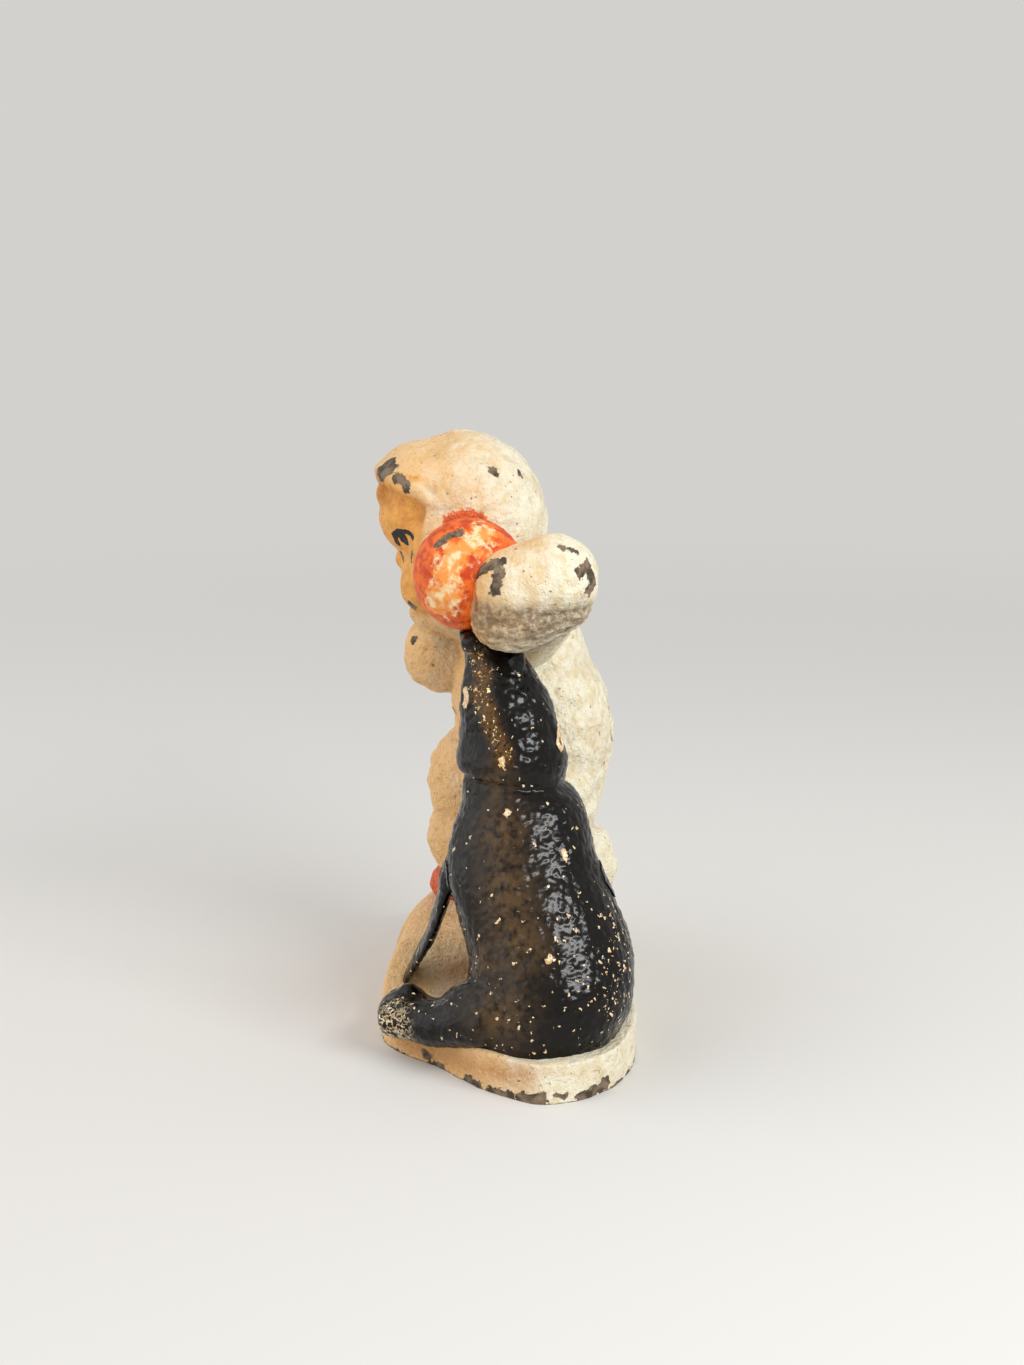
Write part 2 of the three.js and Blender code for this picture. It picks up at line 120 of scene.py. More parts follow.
def limb(start, end, start_radius, end_radius, sides=40):
    """A bar with round ends."""
    axis = Vector(end) - Vector(start)
    turn = axis.to_track_quat("Z", "Y").to_matrix().to_4x4()
    place = Matrix.Translation((Vector(start) + Vector(end)) / 2) @ turn
    bm = bmesh.new()
    bmesh.ops.create_cone(
        bm, cap_ends=True, segments=sides, radius1=start_radius, radius2=end_radius,
        depth=axis.length, matrix=place,
    )
    ends = [(start, start_radius), (end, end_radius)]
    return [kept(bm)] + [lump(point, (radius,) * 3, sides=sides) for point, radius in ends]


def roll(points):
    """A rolled edge along a line of points, each with its radius."""
    shapes = []
    for start, end in zip(points, points[1:]):
        shapes += limb(start[:3], end[:3], start[3], end[3], sides=16)
    return shapes


def skin(rows, across=None, steps=28, sides=40):
    """A closed form through sections (x, y, z, half, half): level ones, or square to the path with
    their first half size along the direction across."""
    bm = bmesh.new()
    loops = []
    for step in range(steps + 1):
        share = step / steps
        row = along(rows, share)
        first, second = Vector((1, 0, 0)), Vector((0, 1, 0))
        if across:
            ahead = Vector(along(rows, min(share + 0.01, 1))[:3])
            behind = Vector(along(rows, max(share - 0.01, 0))[:3])
            tangent = (ahead - behind).normalized()
            first = Vector(across) - tangent * tangent.dot(Vector(across))
            first.normalize()
            second = tangent.cross(first)
        place = Matrix.Identity(4)
        place.col[0][:3] = first * row[3]
        place.col[1][:3] = second * row[4]
        place.col[2][:3] = first.cross(second)
        place.col[3][:3] = row[:3]
        ring = bmesh.ops.create_circle(bm, segments=sides, radius=1, matrix=place)["verts"]
        loops.append(list(dict.fromkeys(edge for vert in ring for edge in vert.link_edges)))
    for low, high in zip(loops, loops[1:]):
        bmesh.ops.bridge_loops(bm, edges=low + high)
    for end in (loops[0], loops[-1]):
        bmesh.ops.contextual_create(bm, geom=end)
    return kept(bm)


def made(shapes, name):
    """One object in the scene that holds the shapes."""
    bm = bmesh.new()
    for shape in shapes:
        bm.from_mesh(shape)
        bpy.data.meshes.remove(shape)
    mesh = bpy.data.meshes.new(name)
    bm.to_mesh(mesh)
    bm.free()
    obj = bpy.data.objects.new(name, mesh)
    bpy.context.collection.objects.link(obj)
    return obj


def block(low, high, name):
    """A plain block between two corners, to cut with."""
    low, high = Vector(low), Vector(high)
    place = Matrix.Translation((low + high) / 2) @ Matrix.Diagonal((*(high - low), 1))
    bm = bmesh.new()
    bmesh.ops.create_cube(bm, size=1, matrix=place)
    return made([kept(bm)], name)


def applied(obj):
    """Turns the modifiers of an object into its mesh."""
    graph = bpy.context.evaluated_depsgraph_get()
    mesh = bpy.data.meshes.new_from_object(obj.evaluated_get(graph))
    obj.modifiers.clear()
    obj.data = mesh
    return obj


def one_skin(obj, voxel, rounds):
    """One closed skin round everything in the object, with soft inner corners as a casting has."""
    remesh = obj.modifiers.new("one_skin", "REMESH")
    remesh.mode = "VOXEL"
    remesh.voxel_size = voxel
    smooth = obj.modifiers.new("soft_corners", "SMOOTH")
    smooth.factor = 0.5
    smooth.iterations = rounds
    return applied(obj)


def cut(obj, cutter, operation="DIFFERENCE", keep=False):
    """Takes the cutter away from the object, or keeps what the two share."""
    tool = obj.modifiers.new("cut", "BOOLEAN")
    tool.operation = operation
    tool.object = cutter
    tool.solver = "MANIFOLD"
    applied(obj)
    if not keep:
        bpy.data.objects.remove(cutter)
    return obj


def copy_of(obj, name):
    """A second object in the scene with a mesh of its own."""
    twin = bpy.data.objects.new(name, obj.data.copy())
    bpy.context.collection.objects.link(twin)
    return twin


def block_beyond(side):
    """A block over one side of the parting plane: 1 behind it, -1 before it."""
    near, far = sorted((PARTING_Y, PARTING_Y + side * FAR))
    return block((-FAR, near, -FAR), (FAR, far, FAR), "beyond")


# Vertex work
def points_of(obj):
    """The places of all points as rows of x, y and z."""
    flat = np.empty(3 * len(obj.data.vertices))
    obj.data.vertices.foreach_get("co", flat)
    return flat.reshape(-1, 3)


def normals_of(obj):
    """The outward directions at all points."""
    flat = np.empty(3 * len(obj.data.vertices))
    obj.data.vertex_normals.foreach_get("vector", flat)
    return flat.reshape(-1, 3)


def moved(obj, points):
    """Puts all points in new places."""
    obj.data.vertices.foreach_set("co", points.ravel())
    obj.data.update()


def raised(obj, heights):
    """Moves each point out along its normal by its height, or in where that is negative."""
    moved(obj, points_of(obj) + normals_of(obj) * heights[:, None])


def nearness(points, centre, radius):
    """1 at the centre, falling smoothly to nothing past the radius."""
    gap = np.linalg.norm(points - np.array(centre), axis=1) / radius
    return np.exp(-2 * gap ** 2)


def distance_to_line(points, line):
    """Distance of each point from a line of points."""
    nearest = np.full(len(points), 1e9)
    for start, end in zip(line, line[1:]):
        start, run = np.array(start, float), np.subtract(end, start)
        share = np.clip((points - start) @ run / max(run @ run, 1e-9), 0, 1)
        gap = np.linalg.norm(points - start - share[:, None] * run, axis=1)
        nearest = np.minimum(nearest, gap)
    return nearest


def ridge(points, line, width):
    """1 along a line of points, falling smoothly to nothing past the width."""
    return np.exp(-2 * (distance_to_line(points, line) / width) ** 2)


def band(values, middle, width):
    """1 where the values pass the middle, falling smoothly to nothing past the width."""
    return np.exp(-((values - middle) / width) ** 2)


def grain(points, size, octaves=2, seed=0):
    """Smooth noise from about -1 to 1, with lumps of the given size in mm."""
    shift = Vector((seed * 17.3, seed * 5.1, seed * 9.7))
    return np.array([noise.fractal(Vector(p) / size + shift, 0.8, 2.0, octaves) for p in points])


def grains(points, rows):
    """The sum of several grains, each row with its height and size in mm and its seed."""
    return sum(height * grain(points, size, 2, seed) for height, size, seed in rows)


def pebbles(points, size, seed=0):
    """Rounded bumps of the given size in mm, from 0 between them to about 1."""
    shift = Vector((seed * 3.7, seed * 8.9, seed * 1.3))
    gaps = [noise.voronoi(Vector(p) / size + shift)[0] for p in points]
    return np.array([min(near[1] - near[0], 0.5) * 2 for near in gaps])


def smoothstep(values, low, high):
    """0 up to low and 1 from high on, with a soft rise between them."""
    share = np.clip((values - low) / (high - low), 0, 1)
    return share * share * (3 - 2 * share)


def patches(points, places):
    """Depth in mm inside the nearest patch, each a line of points with a radius; negative outside."""
    depth = np.full(len(points), BLANK)
    for line, radius in places:
        line = line if len(line) > 1 else [line[0], line[0]]
        depth = np.maximum(depth, radius - distance_to_line(points, line))
    return depth


def smoothing(obj, rounds):
    """Where so many rounds of smoothing would take each point."""
    smooth_copy = copy_of(obj, "smoothed")
    smooth = smooth_copy.modifiers.new("smooth", "SMOOTH")
    smooth.factor = 0.5
    smooth.iterations = rounds
    points = points_of(applied(smooth_copy))
    bpy.data.objects.remove(smooth_copy)
    return points - points_of(obj)


def softened(obj, share, rounds):
    """Smooths an object by a share of its own at each point."""
    moved(obj, points_of(obj) + smoothing(obj, rounds) * share[:, None])
    return obj


def hollowness(obj, rounds):
    """How far each point lies in a hollow of the skin, in mm; negative on a crest."""
    return (smoothing(obj, rounds) * normals_of(obj)).sum(axis=1)


def stored(obj, name, values):
    """Keeps one number per point, which the materials read."""
    attribute = obj.data.attributes.get(name) or obj.data.attributes.new(name, "FLOAT", "POINT")
    attribute.data.foreach_set("value", np.asarray(values, np.float32))


def carried(source_points, values, points):
    """The values of the nearest points of an earlier skin."""
    tree = KDTree(len(source_points))
    for index, point in enumerate(source_points):
        tree.insert(point, index)
    tree.balance()
    return values[[tree.find(point)[1] for point in points]]


# Child: the same forms as its solid, with the rolled edge of the hood, a face and soft folds
HOOD = [((CHILD_X, -5.3, 54.3), (10.3, 9.7, 10.5)), ((CHILD_X, -9.2, 59.2), (8.4, 6, 4.6))]
HOOD_OPENING = [
    (CHILD_X, -16.5, 39.4, 9, 10),
    (CHILD_X, -15, 48.4, 9.4, 10),
    (CHILD_X, -12, 58.2, 9.4, 9),
]
# Rolled edge of the hood over the brow: [from the middle, y, z, radius]
HOOD_EDGE = [
    (0, -14.3, 60.3, 1.0), (3.4, -13.8, 60.4, 1.0), (6.2, -12.1, 60.0, 0.9), (8.2, -9.8, 58.8, 0.8),
    (9.2, -8.0, 57.4, 0.6),
]
FACE = [
    ((CHILD_X, -4.7, 49.4), (9.2, 7.7, 8.6)),
    ((CHILD_X, -8.5, 55.2), (7.4, 6.4, 5.2)),
    ((CHILD_X, -8.6, 44.8), (4.6, 3, 3)),
    ((CHILD_X - 4.5, -9.2, 48.0), (3.8, 3.1, 3.6)),
    ((CHILD_X + 4.5, -9.2, 48.0), (3.8, 3.1, 3.6)),
    ((CHILD_X - 6.3, -6.2, 50.4), (3.6, 5.0, 7.2)),
    ((CHILD_X + 6.3, -6.2, 50.4), (3.6, 5.0, 7.2)),
]
# Put on after the face is softened
NOSE_AND_CURL = [
    ((CHILD_X, -12.0, 50.2), (1.4, 1.1, 1.2)),
    ((CHILD_X, -13.9, 57.6), (2.6, 1.2, 1.6)),
]
# Fills the gap between the chin and the chest: middle, half sizes and turn
THROAT = ((CHILD_X + 0.2, -8.6, 41.6), (2.2, 2.0, 2.6), (20, 0, 0))
TORSO = [
    (2.4, 10.6, 5.6, 4.6), (2.6, 12.8, 8.4, 7.4), (2.8, 15.2, 9.4, 8.2), (2.8, 17.4, 9.8, 8.8),
    (3, 20.6, 10.4, 8.9), (2.7, 23.6, 10.4, 9), (2.1, 27.2, 10, 8.8), (1.5, 31.2, 9.6, 7.3),
    (0.8, 35.4, 9, 6.9), (-0.6, 39.4, 7.2, 5.6), (-2, 42, 4, 4),
]
LEG_SPREAD = 5.9
RIGHT_LEG = [
    (-3, 14.2, 6.2, 6.8, 7.4), (-3.4, 7.4, 6, 6.4, 6.6), (-3.5, 1.6, 4.8, 6.2, 2.9),
]
LEFT_LEG = [
    (4.3, 14.6, 6.2, 5.7, 7.4), (5.2, 7, 6, 7.2, 6.6), (4.8, 1.6, 4.8, 6.8, 2.9),
]
RIGHT_ARM = [
    ((CHILD_X - 8.6, 0.9, 43.8), 4.5),
    ((CHILD_X - 10, -2.6, 38.6), 4.4),
    ((CHILD_X - 3, -7.4, 38.8), 4.9),
]


def hood():
    """The shell of the hood, open before the face."""
    shell = one_skin(made([lump(*lobe) for lobe in HOOD], "hood"), 0.4, 4)
    return cut(shell, made([skin(HOOD_OPENING, across=(1, 0, 0), steps=8, sides=48)], "opening"))


def head_form():
    """The hooded head: the forms of the face run into each other softly."""
    shell = hood()
    shapes = [shell.data.copy()] + [lump(*lobe) for lobe in FACE]
    bpy.data.objects.remove(shell)
    head = one_skin(made(shapes, "head"), 0.3, 4)
    on_face = smoothstep(-points_of(head)[:, 1], 6, 9)
    return softened(head, on_face, FACE_ROUNDS)


def child_form():
    """The whole child but for its raised left arm, as one skin."""
    head = head_form()
    shapes = [head.data.copy(), lump(*THROAT)]
    bpy.data.objects.remove(head)
    for side in (-1, 1):
        shapes += roll([(CHILD_X + side * x, y, z, radius) for x, y, z, radius in HOOD_EDGE])
    shapes += [lump(*lobe) for lobe in NOSE_AND_CURL]
    torso = [(CHILD_X, y, SOLE_Z + height, wide, deep) for y, height, wide, deep in TORSO]
    shapes.append(skin(torso))
    for side, lobes in ((-1, RIGHT_LEG), (1, LEFT_LEG)):
        for y, height, wide, deep, tall in lobes:
            place = (CHILD_X + side * LEG_SPREAD, y, SOLE_Z + height)
            shapes.append(lump(place, (wide, deep, tall)))
    (shoulder, shoulder_radius), (elbow, elbow_radius), (mitten, mitten_radius) = RIGHT_ARM
    shapes += limb(shoulder, elbow, shoulder_radius, elbow_radius)
    shapes += limb(elbow, mitten, elbow_radius, mitten_radius)
    return one_skin(made(shapes, "child"), VOXEL, SUIT_ROUNDS)


EYES = [(CHILD_X - 5.6, -12.1, 53.4), (CHILD_X + 5.6, -12.1, 53.4)]
# From the middle of the face, y and z
MOUTH = [
    (-2.6, -11.8, 47.0), (-1.4, -12.2, 46.2), (0, -12.3, 46.0), (1.4, -12.2, 46.2), (2.6, -11.8, 47.0),
]
EYE_HOLLOW = 0.3
MOUTH_HOLLOW = 0.3
FOLD_PITCH = 3.6


def child_relief(points):
    """Height of the child's surface over its plain form: a nubbly snow suit, a smoother hood."""
    head = smoothstep(points[:, 2], 44, 48)
    face = smoothstep(-points[:, 1], 8, 10) * head
    mouth = [(CHILD_X + x, y, z) for x, y, z in MOUTH]
    height = -MOUTH_HOLLOW * ridge(points, mouth, 0.6)
    for eye in EYES:
        height -= EYE_HOLLOW * nearness(points, eye, 2.2)
    folds = np.sin(2 * math.pi * points[:, 2] / FOLD_PITCH + 2.4 * grain(points, 6, 2, 3))
    patchy = smoothstep(grain(points, 9, 1, 5), -0.5, 0.6)
    height += 0.15 * folds * patchy * (1 - head)
    height += 0.2 * grain(points, 2.6, 2, 1) * (1 - 0.5 * face)
    height += (0.09 - 0.04 * head) * grain(points, 1.0, 2, 2) * (1 - 0.6 * face)
    return height - 0.14 * (1 - face) * smoothstep(grain(points, 1.8, 1, 17), 0.3, 0.7)


# Left arm, in the same forms as its solid. Grains are rows of height, size and seed
ARM_X = CHILD_X + 22
ELBOW = (ARM_X - 0.4, 4.6, 51.3)
GRIP = (ARM_X, 0.6, 50.3)
SHOULDER = (CHILD_X + 8, 1.1, 43.8)
ARM_RADIUS = 4.8
SHOULDER_RADIUS = 5.0
GRIP_RADIUS = 4.4
HEEL = (ARM_X - 0.4, 4.6, 50.2)
PALM = (ARM_X - 0.4, 0.2, 47.9)
HEEL_RADIUS = 4.6
PALM_RADIUS = 4.35
ARM_GRAINS = [(0.14, 2.8, 6), (0.06, 1.0, 7)]
# The crease along the lower side of the mitten
CREASE_Z = 47.6


def arm_form():
    """Upper arm, forearm and mitten as one skin."""
    shapes = limb(SHOULDER, ELBOW, SHOULDER_RADIUS, ARM_RADIUS)
    shapes += limb(ELBOW, GRIP, ARM_RADIUS, GRIP_RADIUS)
    shapes += limb(HEEL, PALM, HEEL_RADIUS, PALM_RADIUS)
    return one_skin(made(shapes, "left_arm"), VOXEL, SUIT_ROUNDS)


def arm_relief(points):
    """Height of the arm's surface: wrinkles below the mitten and a crease along it."""
    x, y, z = points.T
    under = smoothstep(-z, -50.0, -47.4) * smoothstep(x, 4, 9)
    wrinkles = grain(points * np.array([1, 0.5, 1.5]), 1.1, 2, 4)
    crease = band(z - 0.12 * y, CREASE_Z, 0.6)
    return grains(points, ARM_GRAINS) + 0.22 * under * wrinkles - 0.25 * crease


BALL_GRAINS = [(0.1, 2.2, 8), (0.06, 0.9, 9)]


def ball_form():
    """The ball, round and whole: the mitten is cut to it later."""
    return one_skin(made([lump(BALL_CENTRE, (BALL_RADIUS,) * 3)], "ball"), VOXEL, 2)


def ball_relief(points):
    """Height of the ball's brushed surface."""
    return grains(points, BALL_GRAINS)


# Seal: sections (x, y, height over the plate, half size, half size)
SEAL_BODY = [
    (16.6, 3.0, -1.4, 9.4, 8.1), (16.6, 3.3, 0, 9.7, 8.5), (16.6, 4.1, 3, 10, 9.0),
    (16.2, 4.5, 6.4, 9.8, 8.8), (15, 3.7, 10.4, 8.9, 8.8), (13.4, 1.7, 15.7, 7.9, 8.3),
    (12.2, 1.3, 19.4, 6.9, 7.5), (11.2, 1.4, 22.8, 6.2, 6.5), (10.5, 0.6, 25.4, 5.4, 5.5),
    (10.1, 0.3, 27.2, 5.7, 5.6), (9.7, 0.1, 30.8, 5.6, 5.5), (9, -0.6, 34.8, 4.5, 4.5),
    (8.2, -1.5, 38, 3.2, 3.2), (8.1, -3.6, 40.9, 1.9, 1.9),
]
SEAL_TAIL = [
    (20.4, 3, 5, 3, 3), (20, -1.4, 3, 5.2, 3.8), (18.2, -6, 1.3, 4, 2.9), (16.7, -8.6, 0.6, 3.5, 2.5),
    (15, -10.9, 0.6, 3.5, 2.7), (14, -12.5, 0.2, 3.1, 2.2), (13.5, -13.7, -0.3, 1, 1),
]
FRONT_FLIPPER = [
    (9.8, -4.6, 18.4, 2.6, 1.2), (9.4, -6.2, 14.6, 3.0, 1.2), (8.8, -7.2, 11.4, 3, 0.75),
    (7.6, -8.3, 7.8, 2.8, 0.6), (6.0, -10.1, 3.8, 2.3, 0.5), (4.8, -11.6, 0.6, 1.2, 0.35),
]
REAR_FLIPPER = [
    (9.6, 8.4, 16, 2.2, 0.8), (8.8, 10.6, 12, 3.2, 0.75), (7.2, 11.2, 7, 2.8, 0.65),
    (5.6, 11.6, 2.6, 2.2, 0.5), (5, 11.8, 0.6, 1.2, 0.4),
]
# Small lumps of the head: the nose against the ball and the nub under the hand
SEAL_LUMPS = [((10.0, -3.8, 44.2), (1.8, 1.3, 1.3)), ((10.6, 0.8, 42.4), (1.0, 0.9, 1.5))]
SEAL_EYES = [(11.4, -4.6, 38.6), (11.4, 5.6, 34.4)]
SEAL_EYE_RADIUS = 1.0
# The crease under the head, the bulge over it and the hollow behind the head
NECK_CREASE_Z = 29.7
COLLAR_Z = 31.7
NAPE_Z = 35.1
# The lobe at the end of the tail and the dip before it
TAIL_FIN = (15.2, -10.7, 7.5)
TAIL_DIP = [(12.4, -8.0, 6.8), (15.6, -7.8, 7.6), (18.6, -7.2, 7.2)]


def on_plate(rows):
    """Sections given over the plate, as sections given from the table."""
    return [(x, y, PLATE_Z + height, a, b) for x, y, height, a, b in rows]


def seal_form():
    """The whole seal as one skin."""
    shapes = [
        skin(on_plate(SEAL_BODY), steps=40),
        skin(on_plate(SEAL_TAIL), across=(1, 0, 0), steps=24),
        skin(on_plate(FRONT_FLIPPER), across=(1, 0, 0), steps=20, sides=28),
        skin(on_plate(REAR_FLIPPER), across=(1, 0, 0), steps=20, sides=28),
    ]
    shapes += [lump(*small) for small in SEAL_LUMPS]
    return one_skin(made(shapes, "seal"), VOXEL, CRISP_ROUNDS)


def seal_relief(points):
    """Height of the seal's surface: neck, eye rims, the end of the tail and a hammered skin."""
    _, y, z = points.T
    height = -0.35 * band(z + 0.08 * (y - 1), NECK_CREASE_Z, 0.5)
    height += 0.35 * band(z, COLLAR_Z, 1.3) - 0.25 * band(z, NAPE_Z, 1.4)
    for eye in SEAL_EYES:
        gap = np.linalg.norm(points - np.array(eye), axis=1)
        height += 0.16 * band(gap, SEAL_EYE_RADIUS, 0.35)
    height += 0.75 * nearness(points, TAIL_FIN, 1.6) - 0.6 * ridge(points, TAIL_DIP, 1.7)
    height += 0.12 * grain(points, 3.2, 2, 11) + 0.09 * pebbles(points, 1.1, 1)
    return height - 0.03


# Base
def plate(thickness, edge_round, edge_inset):
    """A slab inside the outline with a rounded upper edge, its sides drawn in towards the top; it
    starts below the table and is cut flat there later."""
    loop = PLATE_OUTLINE[-1:] + PLATE_OUTLINE + PLATE_OUTLINE[:2]
    spans = len(loop) - 1
    count = 6 * len(PLATE_OUTLINE)
    bm = bmesh.new()
    corners = [along(loop, (1 + step / 6) / spans) for step in range(count)]
    lid = bm.faces.new([bm.verts.new((x, y, -UNDERCUT)) for x, y in corners])
    top = bmesh.ops.extrude_face_region(bm, geom=[lid])["geom"]
    lid = next(part for part in top if isinstance(part, bmesh.types.BMFace))
    bmesh.ops.translate(bm, verts=list(lid.verts), vec=(0, 0, UNDERCUT + thickness - edge_round))
    steps = 5
    for step in range(steps):
        low, high = math.pi / 2 * step / steps, math.pi / 2 * (step + 1) / steps
        inset = edge_inset * (math.cos(low) - math.cos(high))
        bmesh.ops.inset_region(bm, faces=[lid], thickness=inset, use_even_offset=True)
        rise = edge_round * (math.sin(high) - math.sin(low))
        bmesh.ops.translate(bm, verts=list(lid.verts), vec=(0, 0, rise))
    return kept(bm)


def bank_height(x):
    """Height of the snow, which falls in a smooth curve from the child to the seal."""
    share = np.clip((x + 1) / 9, 0, 1)
    fall = (1 - np.cos(math.pi * share)) / 2
    return SOLE_Z - fall * (SOLE_Z - PLATE_Z)


# Rounding and inward lean of the upper edge: of the bank of snow and of the low plate
BANK_EDGE = (3.8, 2.6)
PLATE_EDGE = (3.2, 2.2)
BASE_GRAINS = [(0.18, 6, 13), (0.1, 2.4, 14), (0.05, 0.9, 15)]
# Countersunk screw hole from below: height and radius
SCREW_HOLE = [(-1, 2.7), (0.4, 2.7), (1.9, 1.55), (20, 1.55)]


def base_form():
    """The low plate with the bank of snow on it, as one skin."""
    bank = one_skin(made([plate(SOLE_Z, *BANK_EDGE)], "bank"), VOXEL * 1.4, 2)
    points = points_of(bank)
    points[:, 2] = np.minimum(points[:, 2], bank_height(points[:, 0]))
    moved(bank, points)
    shapes = [bank.data.copy(), plate(PLATE_Z, *PLATE_EDGE)]
    bpy.data.objects.remove(bank)
    return one_skin(made(shapes, "base"), VOXEL, CRISP_ROUNDS)


def base_relief(points):
    """Height of the snow's uneven surface."""
    return grains(points, BASE_GRAINS)


def screw_hole(place):
    """The countersunk hole of a screw, open below."""
    x, y, _ = place
    return skin([(x, y, z, radius, radius) for z, radius in SCREW_HOLE], steps=3, sides=32)


def through_hole(axis, radius):
    """A round hole along Y, or the pin that fills it."""
    x, z = axis
    return skin([(x, y, z, radius, radius) for y in (-30, 30)], across=(1, 0, 0), steps=1, sides=40)


def flat_bottomed(obj, level):
    """Cuts everything below a level away, with a flat face there."""
    return cut(obj, block((-FAR, -FAR, level - FAR), (FAR, FAR, level), "below"))


# Finishing a piece
def finished(obj, node, material):
    """Brings a piece to metres, shades it and puts it in the place of its node."""
    obj.name = node + "_painted"
    obj.data.name = obj.name
    obj.data.transform(Matrix.Scale(0.001, 4))
    obj.data.shade_smooth()
    obj.data.set_sharp_from_angle(angle=math.radians(60))
    obj.data.materials.clear()
    obj.data.materials.append(material)
    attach(obj, "root")
    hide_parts(node)
    return obj


# Materials
def colour(code):
    """An sRGB hex value as the linear colour that the shader takes."""
    channels = [(code >> shift & 255) / 255 for shift in (16, 8, 0)]
    linear = [c / 12.92 if c <= 0.04045 else ((c + 0.055) / 1.055) ** 2.4 for c in channels]
    return (*linear, 1)


def add(tree, kind, links, out=0, **settings):
    """Adds a shader node. Links gives each socket a value or the output of another node."""
    node = tree.nodes.new("ShaderNode" + kind)
    for name, value in settings.items():
        setattr(node, name, value)
    for socket, source in links.items():
        if isinstance(source, bpy.types.NodeSocket):
            tree.links.new(source, node.inputs[socket])
        else:
            node.inputs[socket].default_value = source
    return node.outputs[out] if node.outputs else None


def blank_material(name):
    """An empty material, its tree and its Object coordinates in millimetres."""
    material = bpy.data.materials.new(name)
    material.use_nodes = True
    tree = material.node_tree
    tree.nodes.clear()
    place = add(tree, "TexCoord", {}, "Object")
    millimetres = add(tree, "VectorMath", {0: place, "Scale": 1000}, operation="SCALE")
    return material, tree, millimetres


def layered(tree, paint, coats):
    """Lays coats over a colour in turn: (pattern, low, high, most, colour). A coat starts where its
    pattern passes low, and from high on it covers by its most."""
    for pattern, low, high, most, coat in coats:
        links = {"Value": pattern, "From Min": low, "From Max": high, "To Max": most}
        share = add(tree, "MapRange", links, interpolation_type="SMOOTHSTEP")
        paint = add(tree, "Mix", {0: share, 6: paint, 7: coat}, 2, data_type="RGBA")
    return paint


def torn_patch(tree, name, ragged, reach, soft=0.03):
    """1 inside the patches stored under a name, whose edge wanders by up to reach mm."""
    depth = add(tree, "Attribute", {}, "Fac", attribute_name=name)
    wander = add(tree, "MapRange", {"Value": ragged, "To Min": -reach, "To Max": reach})
    edge = add(tree, "Math", {0: depth, 1: wander}, operation="ADD")
    return add(tree, "MapRange", {"Value": edge, "From Min": -soft, "From Max": soft})


def cream_enamel():
    """Cream oil enamel brushed on cast iron and worn for decades: matt, mottled tan, darker in its
    hollows with painted shade and dirt, painted shade under the arm, chipped to the grey iron, with red
    and flesh coats over it where they were painted. Painted warm light turns it orange on the sides
    that face -y."""
    material, tree, mm = blank_material("cream_enamel_on_cast_iron")
    broad = add(tree, "TexNoise", {"Vector": mm, "Scale": 0.22, "Detail": 3})
    mottle = add(tree, "TexNoise", {"Vector": mm, "Scale": 0.8, "Detail": 4})
    fine = add(tree, "TexNoise", {"Vector": mm, "Scale": 3.2, "Detail": 4, "Roughness": 0.65})
    ragged = add(tree, "TexNoise", {"Vector": mm, "Scale": 1.3, "Detail": 5, "Roughness": 0.62})
    dirt = add(tree, "TexNoise", {"Vector": mm, "Scale": 2.0, "Detail": 2})
    names = ("warm_lit_side", "flesh", "stain", "shade_and_grime")
    shares = [add(tree, "Attribute", {}, "Fac", attribute_name=name) for name in names]
    warm_lit_side, flesh, stain, shade_and_grime = shares
    skin_coat = layered(tree, colour(0xF2AE50), [(mottle, 0.35, 0.7, 1, colour(0xDC943E))])
    red_coat = layered(tree, colour(0xC8400A), [(fine, 0.42, 0.6, 1, colour(0xE87028))])
    iron = layered(tree, colour(0x44351F), [(mottle, 0.4, 0.62, 1, colour(0x84705A))])
    chip = torn_patch(tree, "chip", ragged, 0.9)
    paint = layered(tree, colour(0xF2EBD2), [
        (mottle, 0.42, 0.72, 1, colour(0xE6D6AE)),
        # painted warm light: an orange tone on the sides turned towards -y
        (warm_lit_side, 0, 1, 0.7, colour(0xEBA844)),
        (broad, 0.48, 0.68, 0.22, colour(0xC29A5E)),
        (flesh, 0, 1, 1, skin_coat),
        (torn_patch(tree, "red", fine, 0.9, 0.15), 0, 1, 1, red_coat),
        (fine, 0.15, 0.55, stain, colour(0xB8701F)),
        # painted shade and dirt in the hollows, and painted shade under the arm
        (ragged, 0.15, 0.62, shade_and_grime, colour(0x74593A)),
        (dirt, 0.68, 0.73, 0.8, colour(0x6B4E31)),
        (torn_patch(tree, "ink", fine, 0.15), 0, 1, 1, colour(0x120E0C)),
        (chip, 0, 1, 1, iron),
    ])
    roughness = add(tree, "MapRange", {"Value": fine, "To Min": 0.42, "To Max": 0.62})
    pits = add(tree, "TexNoise", {"Vector": mm, "Scale": 1.8, "Detail": 4, "Roughness": 0.6})
    relief = add(tree, "Math", {0: chip, 1: -0.7, 2: pits}, operation="MULTIPLY_ADD")
    bump = add(tree, "Bump", {"Strength": 0.9, "Distance": 0.0006, "Height": relief})
    shader = add(tree, "BsdfPrincipled", {"Base Color": paint, "Roughness": roughness, "Normal": bump})
    add(tree, "OutputMaterial", {"Surface": shader})
    return material


def torn_dots(tree, place, per_mm, name):
    """1 inside torn dots of uneven size, of which more show where the number stored under name is
    higher."""
    density = add(tree, "Attribute", {}, "Fac", attribute_name=name)
    warp = add(tree, "TexNoise", {"Vector": place, "Scale": 1.6, "Detail": 2}, "Color")
    shift = add(tree, "VectorMath", {0: warp, "Scale": 1.1}, operation="SCALE")
    warped = add(tree, "VectorMath", {0: place, 1: shift}, operation="ADD")
    gap = add(tree, "TexVoronoi", {"Vector": warped, "Scale": per_mm}, "Distance")
    chance = add(tree, "SeparateColor", {0: gap.node.outputs["Color"]})
    picked = add(tree, "Math", {0: density, 1: chance}, operation="GREATER_THAN")
    size = add(tree, "MapRange", {"Value": chance.node.outputs[1], "To Min": 0.12, "To Max": 0.42})
    inside = add(tree, "Math", {0: size, 1: gap}, operation="SUBTRACT")
    return add(tree, "MapRange", {"Value": inside, "From Max": 0.08, "To Max": picked})


